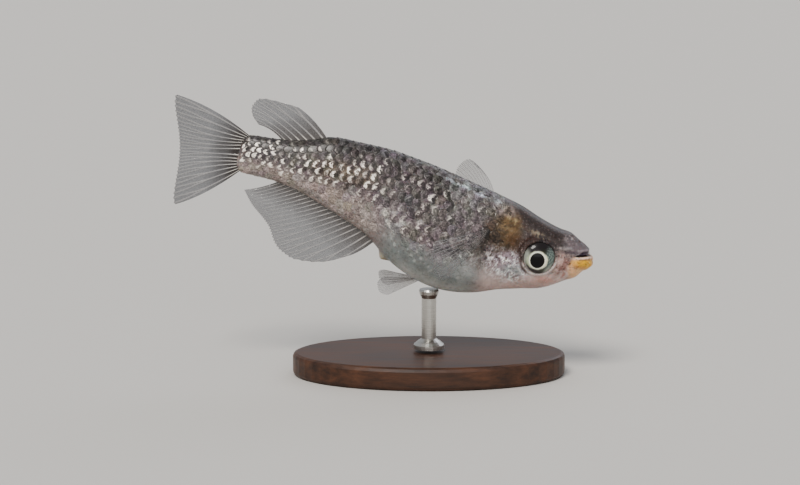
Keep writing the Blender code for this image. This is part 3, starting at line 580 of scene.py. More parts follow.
def grid_mesh(name, points, wrap_columns=False, fans=(), more_faces=()):
    """A mesh of a grid of points, rows by columns, as four-sided faces.

    Columns may close on themselves, and a fan closes the first or last row on one more point.
    """
    rows, columns = points.shape[:2]
    index = np.arange(rows * columns).reshape(rows, columns)
    if wrap_columns:
        index = np.concatenate([index, index[:, :1]], axis=1)
    faces = grid_faces(index).reshape(-1, 4).tolist()
    verts = points.reshape(-1, 3)
    for row, tip in fans:
        edge = index[row]
        verts = np.vstack([verts, tip])
        last = len(verts) - 1
        pairs = np.stack([edge[:-1], edge[1:], np.full(len(edge) - 1, last)], axis=-1)
        if row != 0:
            pairs = pairs[:, ::-1]
        faces += pairs.tolist()
    mesh = bpy.data.meshes.new(name)
    mesh.from_pydata(verts.tolist(), [], faces + list(more_faces))
    return finished(name, mesh)


def turn_outwards(mesh):
    """Flips the faces of a closed mesh if the volume they enclose comes out negative."""
    mesh.calc_loop_triangles()
    corners = np.empty(len(mesh.loop_triangles) * 3, dtype=np.int32)
    mesh.loop_triangles.foreach_get("vertices", corners)
    places = np.empty(len(mesh.vertices) * 3)
    mesh.vertices.foreach_get("co", places)
    a, b, c = places.reshape(-1, 3)[corners.reshape(-1, 3)].transpose(1, 0, 2)
    if np.einsum("ij,ij->i", a, np.cross(b, c)).sum() < 0:
        mesh.flip_normals()


def finished(name, mesh):
    """An object at the origin, smoothly shaded, for a mesh whose place is in its points."""
    mesh.update()
    turn_outwards(mesh)
    mesh.shade_smooth()
    obj = bpy.data.objects.new(name, mesh)
    bpy.context.scene.collection.objects.link(obj)
    return obj


def colour_attribute(obj, name, colours):
    """Stores one colour for each point of the mesh."""
    layer = obj.data.color_attributes.new(name, "FLOAT_COLOR", "POINT")
    values = np.ones((len(obj.data.vertices), 4), dtype=np.float32)
    values[:, :3] = colours.reshape(-1, 3)
    layer.data.foreach_set("color", values.ravel())


def float_attribute(obj, name, values):
    """Stores one number for each point of the mesh."""
    layer = obj.data.attributes.new(name, "FLOAT", "POINT")
    layer.data.foreach_set("value", np.asarray(values, dtype=np.float32).ravel())


def uv_map(obj, name, uv):
    """Stores a UV map from one pair of numbers for each point of the mesh."""
    layer = obj.data.uv_layers.new(name=name)
    corners = np.empty(len(obj.data.loops), dtype=np.int32)
    obj.data.loops.foreach_get("vertex_index", corners)
    layer.data.foreach_set("uv", np.asarray(uv, dtype=np.float32).reshape(-1, 2)[corners].ravel())


def join(tree, node, **values):
    """Sets a node's inputs, each to a value, an output socket or the first output of another node."""
    for key, value in values.items():
        socket = node.inputs[int(key[1:]) if key[1:].isdigit() else key.replace("_", " ")]
        if isinstance(value, bpy.types.Node):
            value = next(output for output in value.outputs if output.enabled)
        if isinstance(value, bpy.types.NodeSocket):
            tree.links.new(value, socket)
        else:
            socket.default_value = value


def add(tree, kind, settings=None, **values):
    """Adds a node of a kind with its settings and its inputs."""
    node = tree.nodes.new(kind)
    for key, value in (settings or {}).items():
        setattr(node, key, value)
    join(tree, node, **values)
    return node


def new_material(name, **values):
    """A material with one Principled shader set to these values."""
    material = bpy.data.materials.new(name)
    material.use_nodes = True
    tree = material.node_tree
    tree.nodes.clear()
    shader = add(tree, "ShaderNodeBsdfPrincipled", **values)
    add(tree, "ShaderNodeOutputMaterial", Surface=shader)
    return material, tree, shader


def body_places():
    """Where the skin's rings stand: packed tightly on the snout and head, wider along the body.

    46 rings round off the snout, one stands every 0.047 mm on the head, 190 along the body, and 12 round
    off the tail's end.
    """
    snout = SNOUT_ROUND * (1 - np.cos(np.linspace(0.04, math.pi / 2, 46)))
    head = np.arange(1.04, 9.6, 0.047) * MM
    body = np.linspace(9.7 * MM, BODY_LENGTH - TAIL_ROUND, 190)
    end = BODY_LENGTH - TAIL_ROUND + TAIL_ROUND * np.sin(np.linspace(0.12, math.pi / 2 - 0.03, 12))
    return np.concatenate([snout, head, body, end])


def make_skin():
    """The whole skin as one closed grid of rings, with its relief pushed out along the normals.

    Each ring is a superellipse about the body's axis, with its height and width read from the stations.
    """
    along = body_places()[:, None]
    turn = np.linspace(0, 2 * math.pi, SKIN_TURNS, endpoint=False)[None, :]
    points, _, side, up = skin_point(along, turn)
    nose = place(np.array(-LOWER_LIP_AHEAD), 0.0, TIP_UP)
    end = place(np.array(BODY_LENGTH), 0.0, float(section(np.array(BODY_LENGTH))[2]))
    skin = grid_mesh("skin", to_world(points), True, ((0, to_world(nose)), (-1, to_world(end))))
    colours = markings(np.broadcast_to(along, side.shape), side, up).reshape(-1, 3)
    tips = markings(np.array([0.0, BODY_LENGTH]), np.zeros(2), np.array([nose[2], end[2]]))
    colour_attribute(skin, "markings", np.vstack([colours, tips]))
    flecks = speckling(along, up).ravel()
    float_attribute(skin, "flecks", np.concatenate([flecks, np.full(2, 0.3)]))
    return skin


def perimeter_table():
    """For places along the body, the half girth from back to belly, and the turn at each share of it."""
    along = np.linspace(GIRTHS_FROM, GIRTHS_TO, GIRTH_PLACES)
    turn = np.linspace(math.pi / 2, -math.pi / 2, GIRTH_TURNS)
    side, up = body_point(along[:, None], turn[None, :])
    steps = np.hypot(np.diff(side, axis=1), np.diff(up, axis=1))
    run = np.concatenate([np.zeros((len(along), 1)), np.cumsum(steps, axis=1)], axis=1)
    share = np.linspace(0, 1, GIRTH_SHARES)
    table = np.stack([np.interp(share, row / row[-1], turn) for row in run])
    return along, run[:, -1], table


def make_scales():
    """Overlapping scales in rows that follow the back, each a small curved plate.

    A plate is a grid of its length by its height, rounded at the rear. Its root lies under the skin, it
    rises to its rear edge, and a rim all round folds down to a floor under the skin that closes it.
    """
    girths = perimeter_table()
    draw = np.random.default_rng(20)
    roots, sides = scale_roots(draw, girths)
    count = len(roots)
    root_along, root_arc = roots.T[:2, :, None, None]
    left = sides > 0

    u = PLATE_RUN[None, :, None]
    v = PLATE_WIDTH[None, None, :]
    length = scale_pitch(root_along) * PLATE_LENGTH * draw.uniform(0.94, 1.06, (count, 1, 1))
    height = scale_height(root_along) * PLATE_HEIGHT * draw.uniform(0.94, 1.06, (count, 1, 1))
    along = root_along + (u * (1 - 0.34 * np.abs(v) ** 2.5) - PLATE_AHEAD) * length
    along = np.clip(along, *PLATE_LIMITS)
    arc = root_arc + 0.5 * v * (1 - 0.12 * u**3) * height
    turn = turn_at(girths, along, np.abs(arc))
    turn = np.where((arc < 0) == left[:, None, None], math.pi - turn, turn)
    base, normal, side, up = skin_point(along, turn)
    depth = depth_share(along, up)
    tilt = draw.normal(0, 0.014, (2, count, 1, 1))
    lift = -0.03 + 0.080 * u**0.9 - 0.022 * np.abs(v) ** 2 + tilt[0] * v + tilt[1] * (u - 0.5)
    belly = ramp(depth.mean(axis=(1, 2), keepdims=True), 0.58, 0.28)
    belly = belly * (1 - 0.6 * ramp(root_along / MM, 21, 28))
    lift = lift * (0.25 + 0.75 * ramp(root_along / MM, 8, 10)) * (1 - 0.92 * belly)
    top = (u > 0) & (u < 1) & (np.abs(v) < 1)
    points = to_world(base + normal * (np.where(top, lift, PLATE_FLOOR) * MM)[..., None])

    rows, columns = len(PLATE_RUN), len(PLATE_WIDTH)
    index = np.arange(count * rows * columns).reshape(count, rows, columns)
    quads = grid_faces(index)
    quads = np.where(left[:, None, None, None], quads, quads[..., ::-1]).reshape(-1, 4)
    sides_of_floor = [index[:, 0, :], index[:, 1:, -1], index[:, -1, -2::-1], index[:, -2:0:-1, 0]]
    floor = np.concatenate(sides_of_floor, axis=1)
    floor = np.where(left[:, None], floor, floor[:, ::-1])
    mesh = bpy.data.meshes.new("scales")
    mesh.from_pydata(points.reshape(-1, 3).tolist(), [], quads.tolist() + floor.tolist())
    scales = finished("scales", mesh)

    tint = 1 + draw.normal(0, 1, (count, 1, 1, 3)) * (0.028, 0.018, 0.034)
    tint = tint + draw.normal(0, 0.05, (count, 1, 1, 1))
    colour_attribute(scales, "markings", np.clip(markings(along, side, up) * tint, 0, 1))
    u, v = np.broadcast_to(u, along.shape), np.broadcast_to(v, along.shape)
    uv_map(scales, "OFBake", bake_patch(root_along, root_arc * sides[:, None, None], u, v))
    uv_map(scales, "plate", np.stack([u, 0.5 + 0.5 * v], axis=-1))
    for name, values in scale_looks(draw, root_along, along, side, up, depth).items():
        float_attribute(scales, name, np.broadcast_to(values, along.shape))
    return scales


def scale_roots(draw, girths):
    """Where each scale is rooted: along, how far down the flank from the back, and its row; then its side.

    The back's row stands once, on the middle line, and every other row on both sides.
    """
    places, girth, _ = girths
    roots = []
    for row in range(SCALE_ROWS):
        along = SCALES_FROM + (row % 2) * 0.5 * float(scale_pitch(SCALES_FROM))
        while along < SCALES_TO:
            height = scale_height(along)
            bare = 0.35 + BARE_BELLY_ROWS * float(ramp(VENT_ALONG - along, -2 * MM, 1 * MM))
            if row * height < np.interp(along, places, girth) - bare * height:
                aside, lower = draw.uniform(-0.07, 0.07) * MM, draw.uniform(-0.06, 0.06) * height
                roots.append((along + aside, row * height + lower, row))
            along += scale_pitch(along)
    roots = np.array(roots)
    up = body_point(roots[:, 0], turn_at(girths, roots[:, 0], np.abs(roots[:, 1])))[1]
    roots = roots[plate_distance(roots[:, 0] - 0.60 * MM, up) > 0.0]
    lower_rows = roots[:, 2] > 0
    sides = np.concatenate([np.ones(len(roots)), -np.ones(lower_rows.sum())])
    return np.vstack([roots, roots[lower_rows]]), sides


def turn_at(girths, along, arc):
    """The turn at an arc down from the back, read from the table between its four nearest places."""
    places, girth, table = girths
    rows, columns = table.shape
    share = np.clip(arc / np.interp(along, places, girth), 0, 1) * (columns - 1)
    row = np.interp(along, places, np.arange(rows))
    i, j = np.clip(row.astype(int), 0, rows - 2), np.clip(share.astype(int), 0, columns - 2)
    fi, fj = row - i, share - j
    low = table[i, j] * (1 - fj) + table[i, j + 1] * fj
    high = table[i + 1, j] * (1 - fj) + table[i + 1, j + 1] * fj
    return low * (1 - fi) + high * fi


def scale_looks(draw, root_along, along, side, up, depth):
    """The numbers that tell the scales' finish how strongly each shows its silver and painted highlight, how
    it leans and how it darkens.
    """
    count = len(root_along)
    s = along / MM
    spark = draw.random((count, 1, 1))
    front, tailward, stalk = ramp(s, 16, 12), ramp(s, 19, 26), ramp(s, 24, 29)
    # Where the crescents carry their painted highlight over the silver's own colour: the upper flank, most
    # towards the tail, and faintly the mid flank.
    flank = bell(depth, 0.66 - 0.10 * tailward, 0.24 + 0.05 * tailward) * (0.45 + 0.55 * ramp(s, 17, 23))
    flank = flank * ramp(s, 8.5, 11) * (1 - 0.9 * brown_patch(along, up))
    clouds = 0.5 + 0.5 * ripple(along, side, up, 3.2 * MM, 31)
    highlight_share = (1 - front) * (0.10 + 1.25 * spark**2) + front * (0.04 + 2.0 * spark**6) + 0.06 * stalk
    silver_highlight = flank * highlight_share * (0.5 + clouds) * (1 + 0.4 * tailward + 0.9 * stalk + 0.4 * bell(s, 16, 2))
    faint = bell(depth, 0.42, 0.17) * span(s, 12, 16, 23, 27)
    # A stroke leans with its upper end towards the head in front, and a little the other way near the tail.
    lean = 0.08 - 0.34 * ramp(root_along / MM, 21, 16) + draw.normal(0, 0.16, (count, 1, 1))
    ink = (0.03 + 0.87 * ramp(depth + 0.15 * tailward, 0.30, 0.66)) * (0.6 + 0.4 * draw.random((count, 1, 1)))
    broken = ramp(depth + 0.45 * ramp(s, 15, 21), 0.15, 0.42)
    return {
        "silver_highlight_strength": np.clip(np.maximum(silver_highlight, faint * (0.2 + 0.5 * spark)), 0, 2),
        "lean": lean,
        "ink": ink * (1 - 0.3 * front) * (1 - 0.45 * stalk),
        "unevenness": 0.10 + (0.72 + 0.33 * front) * broken,
        "spark": spark,
        "tone": draw.random((count, 1, 1)),
    }


def scale_pitch(along):
    """Distance from scale to scale in a row, shrinking towards the tail."""
    return np.interp(along / MM, (8, 12, 16, 21, 29, 32), (0.84, 0.80, 0.76, 0.74, 0.66, 0.58)) * MM


def scale_height(along):
    """Distance from row to row, shrinking towards the tail."""
    return np.interp(along / MM, (8, 12, 19, 24, 29, 32), (0.92, 0.92, 0.86, 0.73, 0.53, 0.46)) * MM


def bake_patch(along, arc, u, v):
    """Each plate's own small patch at its root's place on an unrolled skin."""
    x = 0.05 + 0.9 * along / BODY_LENGTH + 0.003 * (u - 0.5)
    y = 0.5 + arc / BAKE_HEIGHT + 0.0015 * v
    return np.stack(np.broadcast_arrays(x, y), axis=-1)


def make_eye(name, left):
    """An eyeball: rings about the line across the head, by an ellipse, with a slight cornea in front."""
    turn = np.linspace(0.02, math.pi - 0.02, EYE_RINGS)[:, None]
    round_turn = np.linspace(0, 2 * math.pi, EYE_TURNS, endpoint=False)[None, :]
    radius = EYE_RADIUS * np.sin(turn)
    cornea = CORNEA * bell(radius, 0, PUPIL_RADIUS) * (np.cos(turn) > 0)
    along = EYE_ALONG + radius * np.cos(round_turn)
    up = EYE_UP + radius * np.sin(round_turn)
    side = left * (EYE_SIDE + EYE_TAPER * (along - EYE_ALONG) + EYE_BULGE * np.cos(turn) + cornea)
    front = place(np.array(EYE_ALONG), left * (EYE_SIDE + EYE_BULGE + CORNEA), EYE_UP)
    back = place(np.array(EYE_ALONG), left * (EYE_SIDE - EYE_BULGE), EYE_UP)
    points = to_world(place(along, side, up))
    eye = grid_mesh(name, points, True, ((0, to_world(front)), (-1, to_world(back))))
    poles = iris(np.full(2, EYE_ALONG), np.full(2, EYE_UP))
    colour_attribute(eye, "iris", np.vstack([iris(along, up).reshape(-1, 3), poles]))
    return eye


def iris(along, up):
    """Rings of colour round the gaze: a black pupil, a pale gold ring, then dark above and silver elsewhere.

    Angles are those of the photograph, 0 ahead and a quarter turn straight up, so the pitch is undone.
    """
    draw = np.random.default_rng(8)
    c, s = math.cos(PITCH), math.sin(PITCH)

    def polar(a, u):
        """Distance and angle in the photograph of a place a millimetres back and u up."""
        x, y = -a * c + u * s, (a * s + u * c) / 1.07
        return np.hypot(x, y), np.degrees(np.arctan2(y, x))

    def sector(middle, width):
        """A soft wedge of the iris about an angle."""
        return bell((angle - middle + 180) % 360 - 180, 0, width)

    r, angle = polar((along - EYE_ALONG - GAZE[0]) / MM, (up - EYE_UP - GAZE[1]) / MM)
    outer, bearing = polar((along - EYE_ALONG) / MM, (up - EYE_UP) / MM)
    flecks = 0.0
    for index in range(9):
        turns, rings, shift = draw.integers(11, 30), draw.uniform(18, 46), draw.uniform(0, 6.28)
        flecks = flecks + np.sin(turns * np.radians(bearing) + (-1) ** index * rings * outer + shift) / 4.5
    edge = 0.77 + 0.13 * sector(-8, 48) + 0.11 * sector(178, 40) - 0.02 * (sector(90, 40) + sector(-95, 35))
    edge = edge + 0.014 * np.sin(7 * np.radians(angle)) + 0.010 * np.sin(13 * np.radians(angle) + 2)
    ring = ramp(r, edge + 0.07, edge - 0.06)
    return lay(
        np.broadcast_to(tone("#4B4546"), (*r.shape, 3)),
        ("#6F6E69", 0.75 * sector(170, 50)),
        ("#B9C2A8", 0.80 * sector(184, 36) * bell(r, 0.93, 0.17) * (1 - 0.35 * flecks)),
        ("#66746F", 0.95 * sector(2, 50)),
        ("#27332B", 0.65 * sector(15, 45) * ramp(-flecks, 0.15, 0.8)),
        ("#A9ADA0", 0.80 * sector(-42, 22) * ramp(outer, 0.95, 1.15)),
        ("#9A9E94", 0.75 * sector(155, 26) * ramp(outer, 0.90, 1.10)),
        ("#A9B7AE", 0.55 * (sector(10, 60) + sector(-160, 40)) * ramp(flecks, 0.0, 0.8)),
        ("#3F4030", 0.90 * sector(-68, 17) * bell(r, 1.02, 0.16)),
        ("#463E42", 0.90 * sector(-138, 36) * ramp(r, 0.82, 0.92)),
        ("#CFC9C2", 0.80 * (sector(-125, 45) + 0.4 * sector(180, 30)) * bell(outer, 1.33, 0.06)),
        ("#231E1F", ramp(sector(86, 48), 0.20, 0.65) * ramp(r, 0.70, 0.82)),
        ("#2C301F", 0.85 * sector(48, 16) * bell(r, 0.98, 0.10)),
        ("#BFC4A4", ring),
        ("#A3AB92", 0.85 * ring * sector(178, 52) * ramp(r, 0.70, 0.77)),
        ("#F1F0D2", 0.92 * ring * sector(-8, 62)),
        ("#FBF9EC", 0.95 * bell(r, 0.69, 0.045)),
        ("#050404", ramp(r, 0.655, 0.615)),
    )


def make_fin(name, roots, tips, normal, bow, rays, split, cup=0.0, wave=0.0, thick=0.13 * MM):
    """A thin membrane with raised rays.

    The surface is a grid of share across by share along the rays. Each ray is a rounded ridge in both
    faces, and past the split it parts into two that spread to a quarter of the way to the next ray.
    """
    columns, rows = rays * COLUMNS_PER_RAY + 1, FIN_ROWS
    across = np.linspace(-0.5, rays - 0.5, columns)[None, :]
    run = np.linspace(0, 1, rows)[:, None]
    spread = 0.26 * ramp(run, split, min(1.0, split + 0.5))
    offset = across - np.round(across)
    width = 0.13 - 0.05 * run
    rib = np.maximum(bell(offset, spread, width), bell(offset, -spread, width))
    position = np.linspace(0, 1, columns)
    known = np.linspace(0, 1, len(roots))

    def read(table):
        """The table's points, or its one point, at every column."""
        table = np.broadcast_to(table, roots.shape)
        return np.stack([np.interp(position, known, table[:, k]) for k in range(3)], axis=-1)

    def both(values):
        """The same values on the near and the far face, as they follow each other round the fin."""
        return np.concatenate([values, values[:, ::-1]], axis=1)

    root, tip, normal, bent = read(roots), read(tips), read(normal), read(bow)
    tip = tip + (root - tip) * (EDGE_NOTCH * (1 - rib[-1]))[:, None]
    middle = root + (tip - root) * run[..., None] + bent * (4 * run * (1 - run))[..., None]
    share = 2 * position[None, :] - 1
    push = cup * (share**2 - 1) * run + wave * run**1.5 * np.sin(3.3 * share + 1.2 + 1.5 * run)
    middle = middle + normal * push[..., None]
    half = 0.5 * (WEB_THICKNESS + thick * rib * (1 - 0.62 * run) * ramp(run, 1.0, 0.94))
    half = half * (1 - 0.8 * ramp(run, 0.96, 1.0))
    near, far = middle + normal * half[..., None], middle - normal * half[..., None]
    loop = np.concatenate([near, far[:, ::-1]], axis=1)
    fin = grid_mesh(name, to_world(loop), True, more_faces=end_faces(rows, columns))
    float_attribute(fin, "rib", both(rib))
    float_attribute(fin, "reach", both(run * np.linalg.norm(tip - root, axis=-1)[None, :] / MM))
    return fin


def end_faces(rows, columns):
    """Four-sided faces that sew the two faces of a fin together along its root and its outer edge."""
    ring = 2 * columns
    j = np.arange(columns - 1)
    root = np.stack([j, j + 1, ring - 2 - j, ring - 1 - j], axis=-1)
    edge = root[:, ::-1] + (rows - 1) * ring
    return root.tolist() + edge.tolist()


# Fins on the middle plane: where the root starts and ends along, and the tips as share of the root, along
# and up, all in millimetres.
DORSAL_RAYS = 6
DORSAL_BOW = 0.25 * MM  # the rays arch up by this
DORSAL_ROOT = (24.95, 28.6)
DORSAL_TIPS = (
    (0.0, 28.3, 5.42),
    (0.2, 31.1, 5.32),
    (0.5, 32.15, 4.55),
    (0.8, 31.9, 3.55),
    (1.0, 31.2, 2.95),
)
ANAL_RAYS = 20
ANAL_BOW = -0.15 * MM
ANAL_ROOT = (18.65, 27.95)
ANAL_TIPS = (
    (0.0, 20.4, -5.85),
    (0.06, 22.4, -7.05),
    (0.13, 24.9, -7.60),
    (0.2, 26.1, -7.35),
    (0.45, 28.1, -5.35),
    (0.75, 29.9, -4.00),
    (1.0, 30.9, -2.95),
)
ROOT_SINK = 0.25 * MM  # how far the fins' roots lie under the skin
FIN_ROWS = 64
COLUMNS_PER_RAY = 10
WEB_THICKNESS = 0.03 * MM
SOLID_WEB = 0.50 * MM  # how thick the membrane of the solid fins is
EDGE_NOTCH = 0.02  # how far a fin's edge falls back between two rays, as a share of their length

# The tail fin's rays fan from a hub in the tail, about an axis that droops from the body's.
CAUDAL_RAYS = 14
CAUDAL_HUB_ALONG = 31.8 * MM
CAUDAL_AXIS = math.radians(-14.5)
CAUDAL_HALF_SPREAD = math.radians(38.7)
CAUDAL_MIDDLE = 5.75 * MM  # from the hub to the middle of the fin's rear edge
CAUDAL_FORK = 0.75 * MM  # the corners reach this much further back
CAUDAL_CORNER = 0.06  # share by which the outermost rays are shorter
CAUDAL_BOW = 0.40 * MM  # the outermost rays bow outwards by this
CAUDAL_INNER_BOW = 1.5 * MM  # times the way in from them, by which inner rays bow less, and then inwards
CAUDAL_ROOT_ARC = math.radians(66)  # half the turn that the root follows

# A paired fin's way is how far its middle ray runs back, outwards and up.
PAIRED_SLANT = 0.10  # the leading ray is longer and the last ray shorter by this share
PAIRED_ROUND = 0.22  # share by which the outermost rays are shorter
PAIRED_SINK = 0.45 * MM  # how far their roots lie inside the body
PAIRED_CUP = 0.3 * MM  # how far the paired fins bow out of flat
PECTORAL_RAYS = 10
PECTORAL_ALONG = 10.05 * MM
PECTORAL_UP = -0.6 * MM
PECTORAL_ROOT = 1.3 * MM
PECTORAL_LENGTH = 5.9 * MM
# For each: its way, how far its root's lower end lies behind the upper one as a share of the root's length,
# the angle over which the rays fan, and how far they bow towards the leading edge.
PECTORAL_LEFT = ((2.9, 1.9, 4.85), 0.75, math.radians(13), 1.2 * MM)
PECTORAL_RIGHT = ((3.2, 2.7, -3.0), 0.15, math.radians(38), 0.0)
PELVIC_RAYS = 6
PELVIC_ALONG = 14.7 * MM
PELVIC_SIDE = 0.75 * MM
PELVIC_ROOT = 0.8 * MM
PELVIC_LENGTH = 3.0 * MM
PELVIC_FAN = math.radians(26)
PELVIC_LEFT = (2.6, 0.55, -0.8)
PELVIC_RIGHT = (2.4, 0.55, -1.15)


def median_fin(name, root_span, tips, on_back, rays, bow, split, wave):
    """A fin on the middle plane, from the back's or the belly's line out to its table of tips."""
    share = np.linspace(0, 1, 60)
    along = (root_span[0] + (root_span[1] - root_span[0]) * share) * MM
    back, belly = section(along)[:2]
    up = back - ROOT_SINK if on_back else belly + ROOT_SINK
    ends = place(smooth(tips, share, 1) * MM, 0.0, smooth(tips, share, 2) * MM)
    return make_fin(name, place(along, 0.0, up), ends, (0, 1, 0), (0, 0, bow), rays, split, wave=wave)


def caudal_fin():
    """The tail fin: rays from a rounded root that fan to a rear edge a little longer at its corners."""
    share = np.linspace(-1, 1, 90)
    back, belly, middle, _, _ = section(np.array(BODY_LENGTH - TAIL_ROUND))
    turn = share * CAUDAL_ROOT_ARC
    power = 2 / TAIL_SQUARENESS
    reach = (back - belly) / 2 - 0.12 * MM
    along = BODY_LENGTH - TAIL_ROUND + (TAIL_ROUND - ROOT_SINK) * np.cos(turn) ** power
    up = middle - reach * np.sign(turn) * np.abs(np.sin(turn)) ** power
    angle = -share * CAUDAL_HALF_SPREAD
    length = (CAUDAL_MIDDLE + CAUDAL_FORK * share**2) / np.cos(angle)
    length = length * (1 - CAUDAL_CORNER * np.abs(share) ** 10)
    aim = angle + CAUDAL_AXIS
    tips = place(CAUDAL_HUB_ALONG + length * np.cos(aim), 0.0, middle + length * np.sin(aim))
    # The outermost rays bow outwards and the inner ones inwards, so that they spread towards the rim.
    bow = np.outer(-share * (CAUDAL_BOW - CAUDAL_INNER_BOW * (1 - np.abs(share))), [0.0, 0.0, 1.0])
    roots = place(along, 0.0, up)
    return make_fin("caudal_web", roots, tips, (0, 1, 0), bow, CAUDAL_RAYS, 0.42, wave=0.12 * MM)


def paired_fin(name, ends, way, length, fan, rays, bow=0.0):
    """A fin of one side, fanning in the plane of its root's line and its middle ray."""
    first, last = ends
    share = np.linspace(-1, 1, 50)
    way = Vector(way).normalized()
    normal = Vector(last - first).cross(way).normalized()
    across = way.cross(normal).normalized()
    if across.dot(Vector(last - first)) < 0:
        across = -across
    angle = share * fan / 2
    reach = length * (1 - PAIRED_SLANT * share - PAIRED_ROUND * np.abs(share) ** 3)
    ray = np.outer(np.cos(angle), way) + np.outer(np.sin(angle), across)
    roots = (first + last) / 2 + np.outer(share, (last - first) / 2)
    tips = roots + ray * reach[:, None]
    roots = roots - ray * PAIRED_SINK
    forwards = -bow * np.array(across)
    return make_fin(name, roots, tips, normal, forwards, rays, 0.5, cup=PAIRED_CUP, thick=0.11 * MM)


def skin_side(along, up):
    """Half width of the body at a height."""
    back, belly, middle, half, squareness = section(along)
    share = np.where(up > middle, (up - middle) / (back - middle), (middle - up) / (middle - belly))
    power = np.where(up > middle, squareness, BELLY_SQUARENESS)
    return half * (1 - np.clip(share, 0, 1) ** power) ** (1 / power)


def pectoral_fin(name, left, way, lean, fan, bow):
    """The breast fin behind the gill cover, its leading ray rooted highest."""
    half = PECTORAL_ROOT / 2
    along = PECTORAL_ALONG + np.array([-1, 1]) * half * lean
    heights = PECTORAL_UP + np.array([1, -1]) * half * math.sqrt(1 - lean**2)
    reach = skin_side(along, heights) + GAP + SOLID_WEB / 2
    back, out, up = way
    ends = place(along, left * reach, heights)
    return paired_fin(name, ends, (-back, left * out, up), PECTORAL_LENGTH, fan, PECTORAL_RAYS, bow)


def pelvic_fin(name, left, way):
    """The small belly fin."""
    along = PELVIC_ALONG + np.array([-1, 1]) * PELVIC_ROOT / 2
    _, belly, middle, half, _ = section(along)
    sunk = (1 - (PELVIC_SIDE / half) ** BELLY_SQUARENESS) ** (1 / BELLY_SQUARENESS)
    back, out, up = way
    ends = place(along, left * PELVIC_SIDE, middle - (middle - belly) * sunk - GAP)
    return paired_fin(name, ends, (-back, left * out, up), PELVIC_LENGTH, PELVIC_FAN, PELVIC_RAYS)


def skin_material():
    """Living fish skin under a film of slime: soft and a little see-through, with a wet gloss."""
    material, tree, shader = new_material(
        "wet_fish_skin",
        IOR=1.38,
        Subsurface_Weight=0.2,
        Subsurface_Scale=0.0005,
        Specular_IOR_Level=0.35,
        Coat_Weight=0.15,
        Coat_Roughness=0.20,
        Coat_IOR=1.34,
    )
    where = add(tree, COORDINATES).outputs["Object"]
    paint = add(tree, "ShaderNodeVertexColor", {"layer_name": "markings"})
    strength = add(tree, ATTRIBUTE, {"attribute_name": "flecks"}).outputs["Fac"]
    # Ink cells and silver flecks are 0.1 to 0.3 mm across, which the noise scales below give.
    cells = add(tree, NOISE, Vector=where, Scale=4200.0, Detail=4.0, Roughness=0.62)
    ink = add(tree, RANGE, Value=cells, From_Min=0.50, From_Max=0.66)
    inking = add(tree, MATH, MULTIPLY, i0=ink, i1=strength)
    dark = add(tree, MIX, COLOUR_MULTIPLY, Factor=inking, A=paint, B=linear("#756A64"))
    apart = add(tree, VECTOR_MATH, ADD, i0=where, i1=(0.02, 0.01, 0.03))
    glints = add(tree, NOISE, Vector=apart, Scale=5200.0, Detail=3.0, Roughness=0.65)
    pale = add(tree, RANGE, Value=glints, From_Min=0.54, From_Max=0.72)
    paling = add(tree, MATH, MULTIPLY, i0=pale, i1=strength)
    light = add(tree, MIX, COLOUR_SCREEN, Factor=paling, A=dark, B=linear("#8F8682"))
    silver = add(tree, NOISE, Vector=where, Scale=2600.0, Detail=2.0)
    rough = add(tree, RANGE, Value=silver, To_Min=0.30, To_Max=0.50)
    bump = add(tree, "ShaderNodeBump", Height=silver, Strength=0.25, Distance=0.00002)
    join(tree, shader, Base_Color=light, Roughness=rough, Normal=bump)
    return material


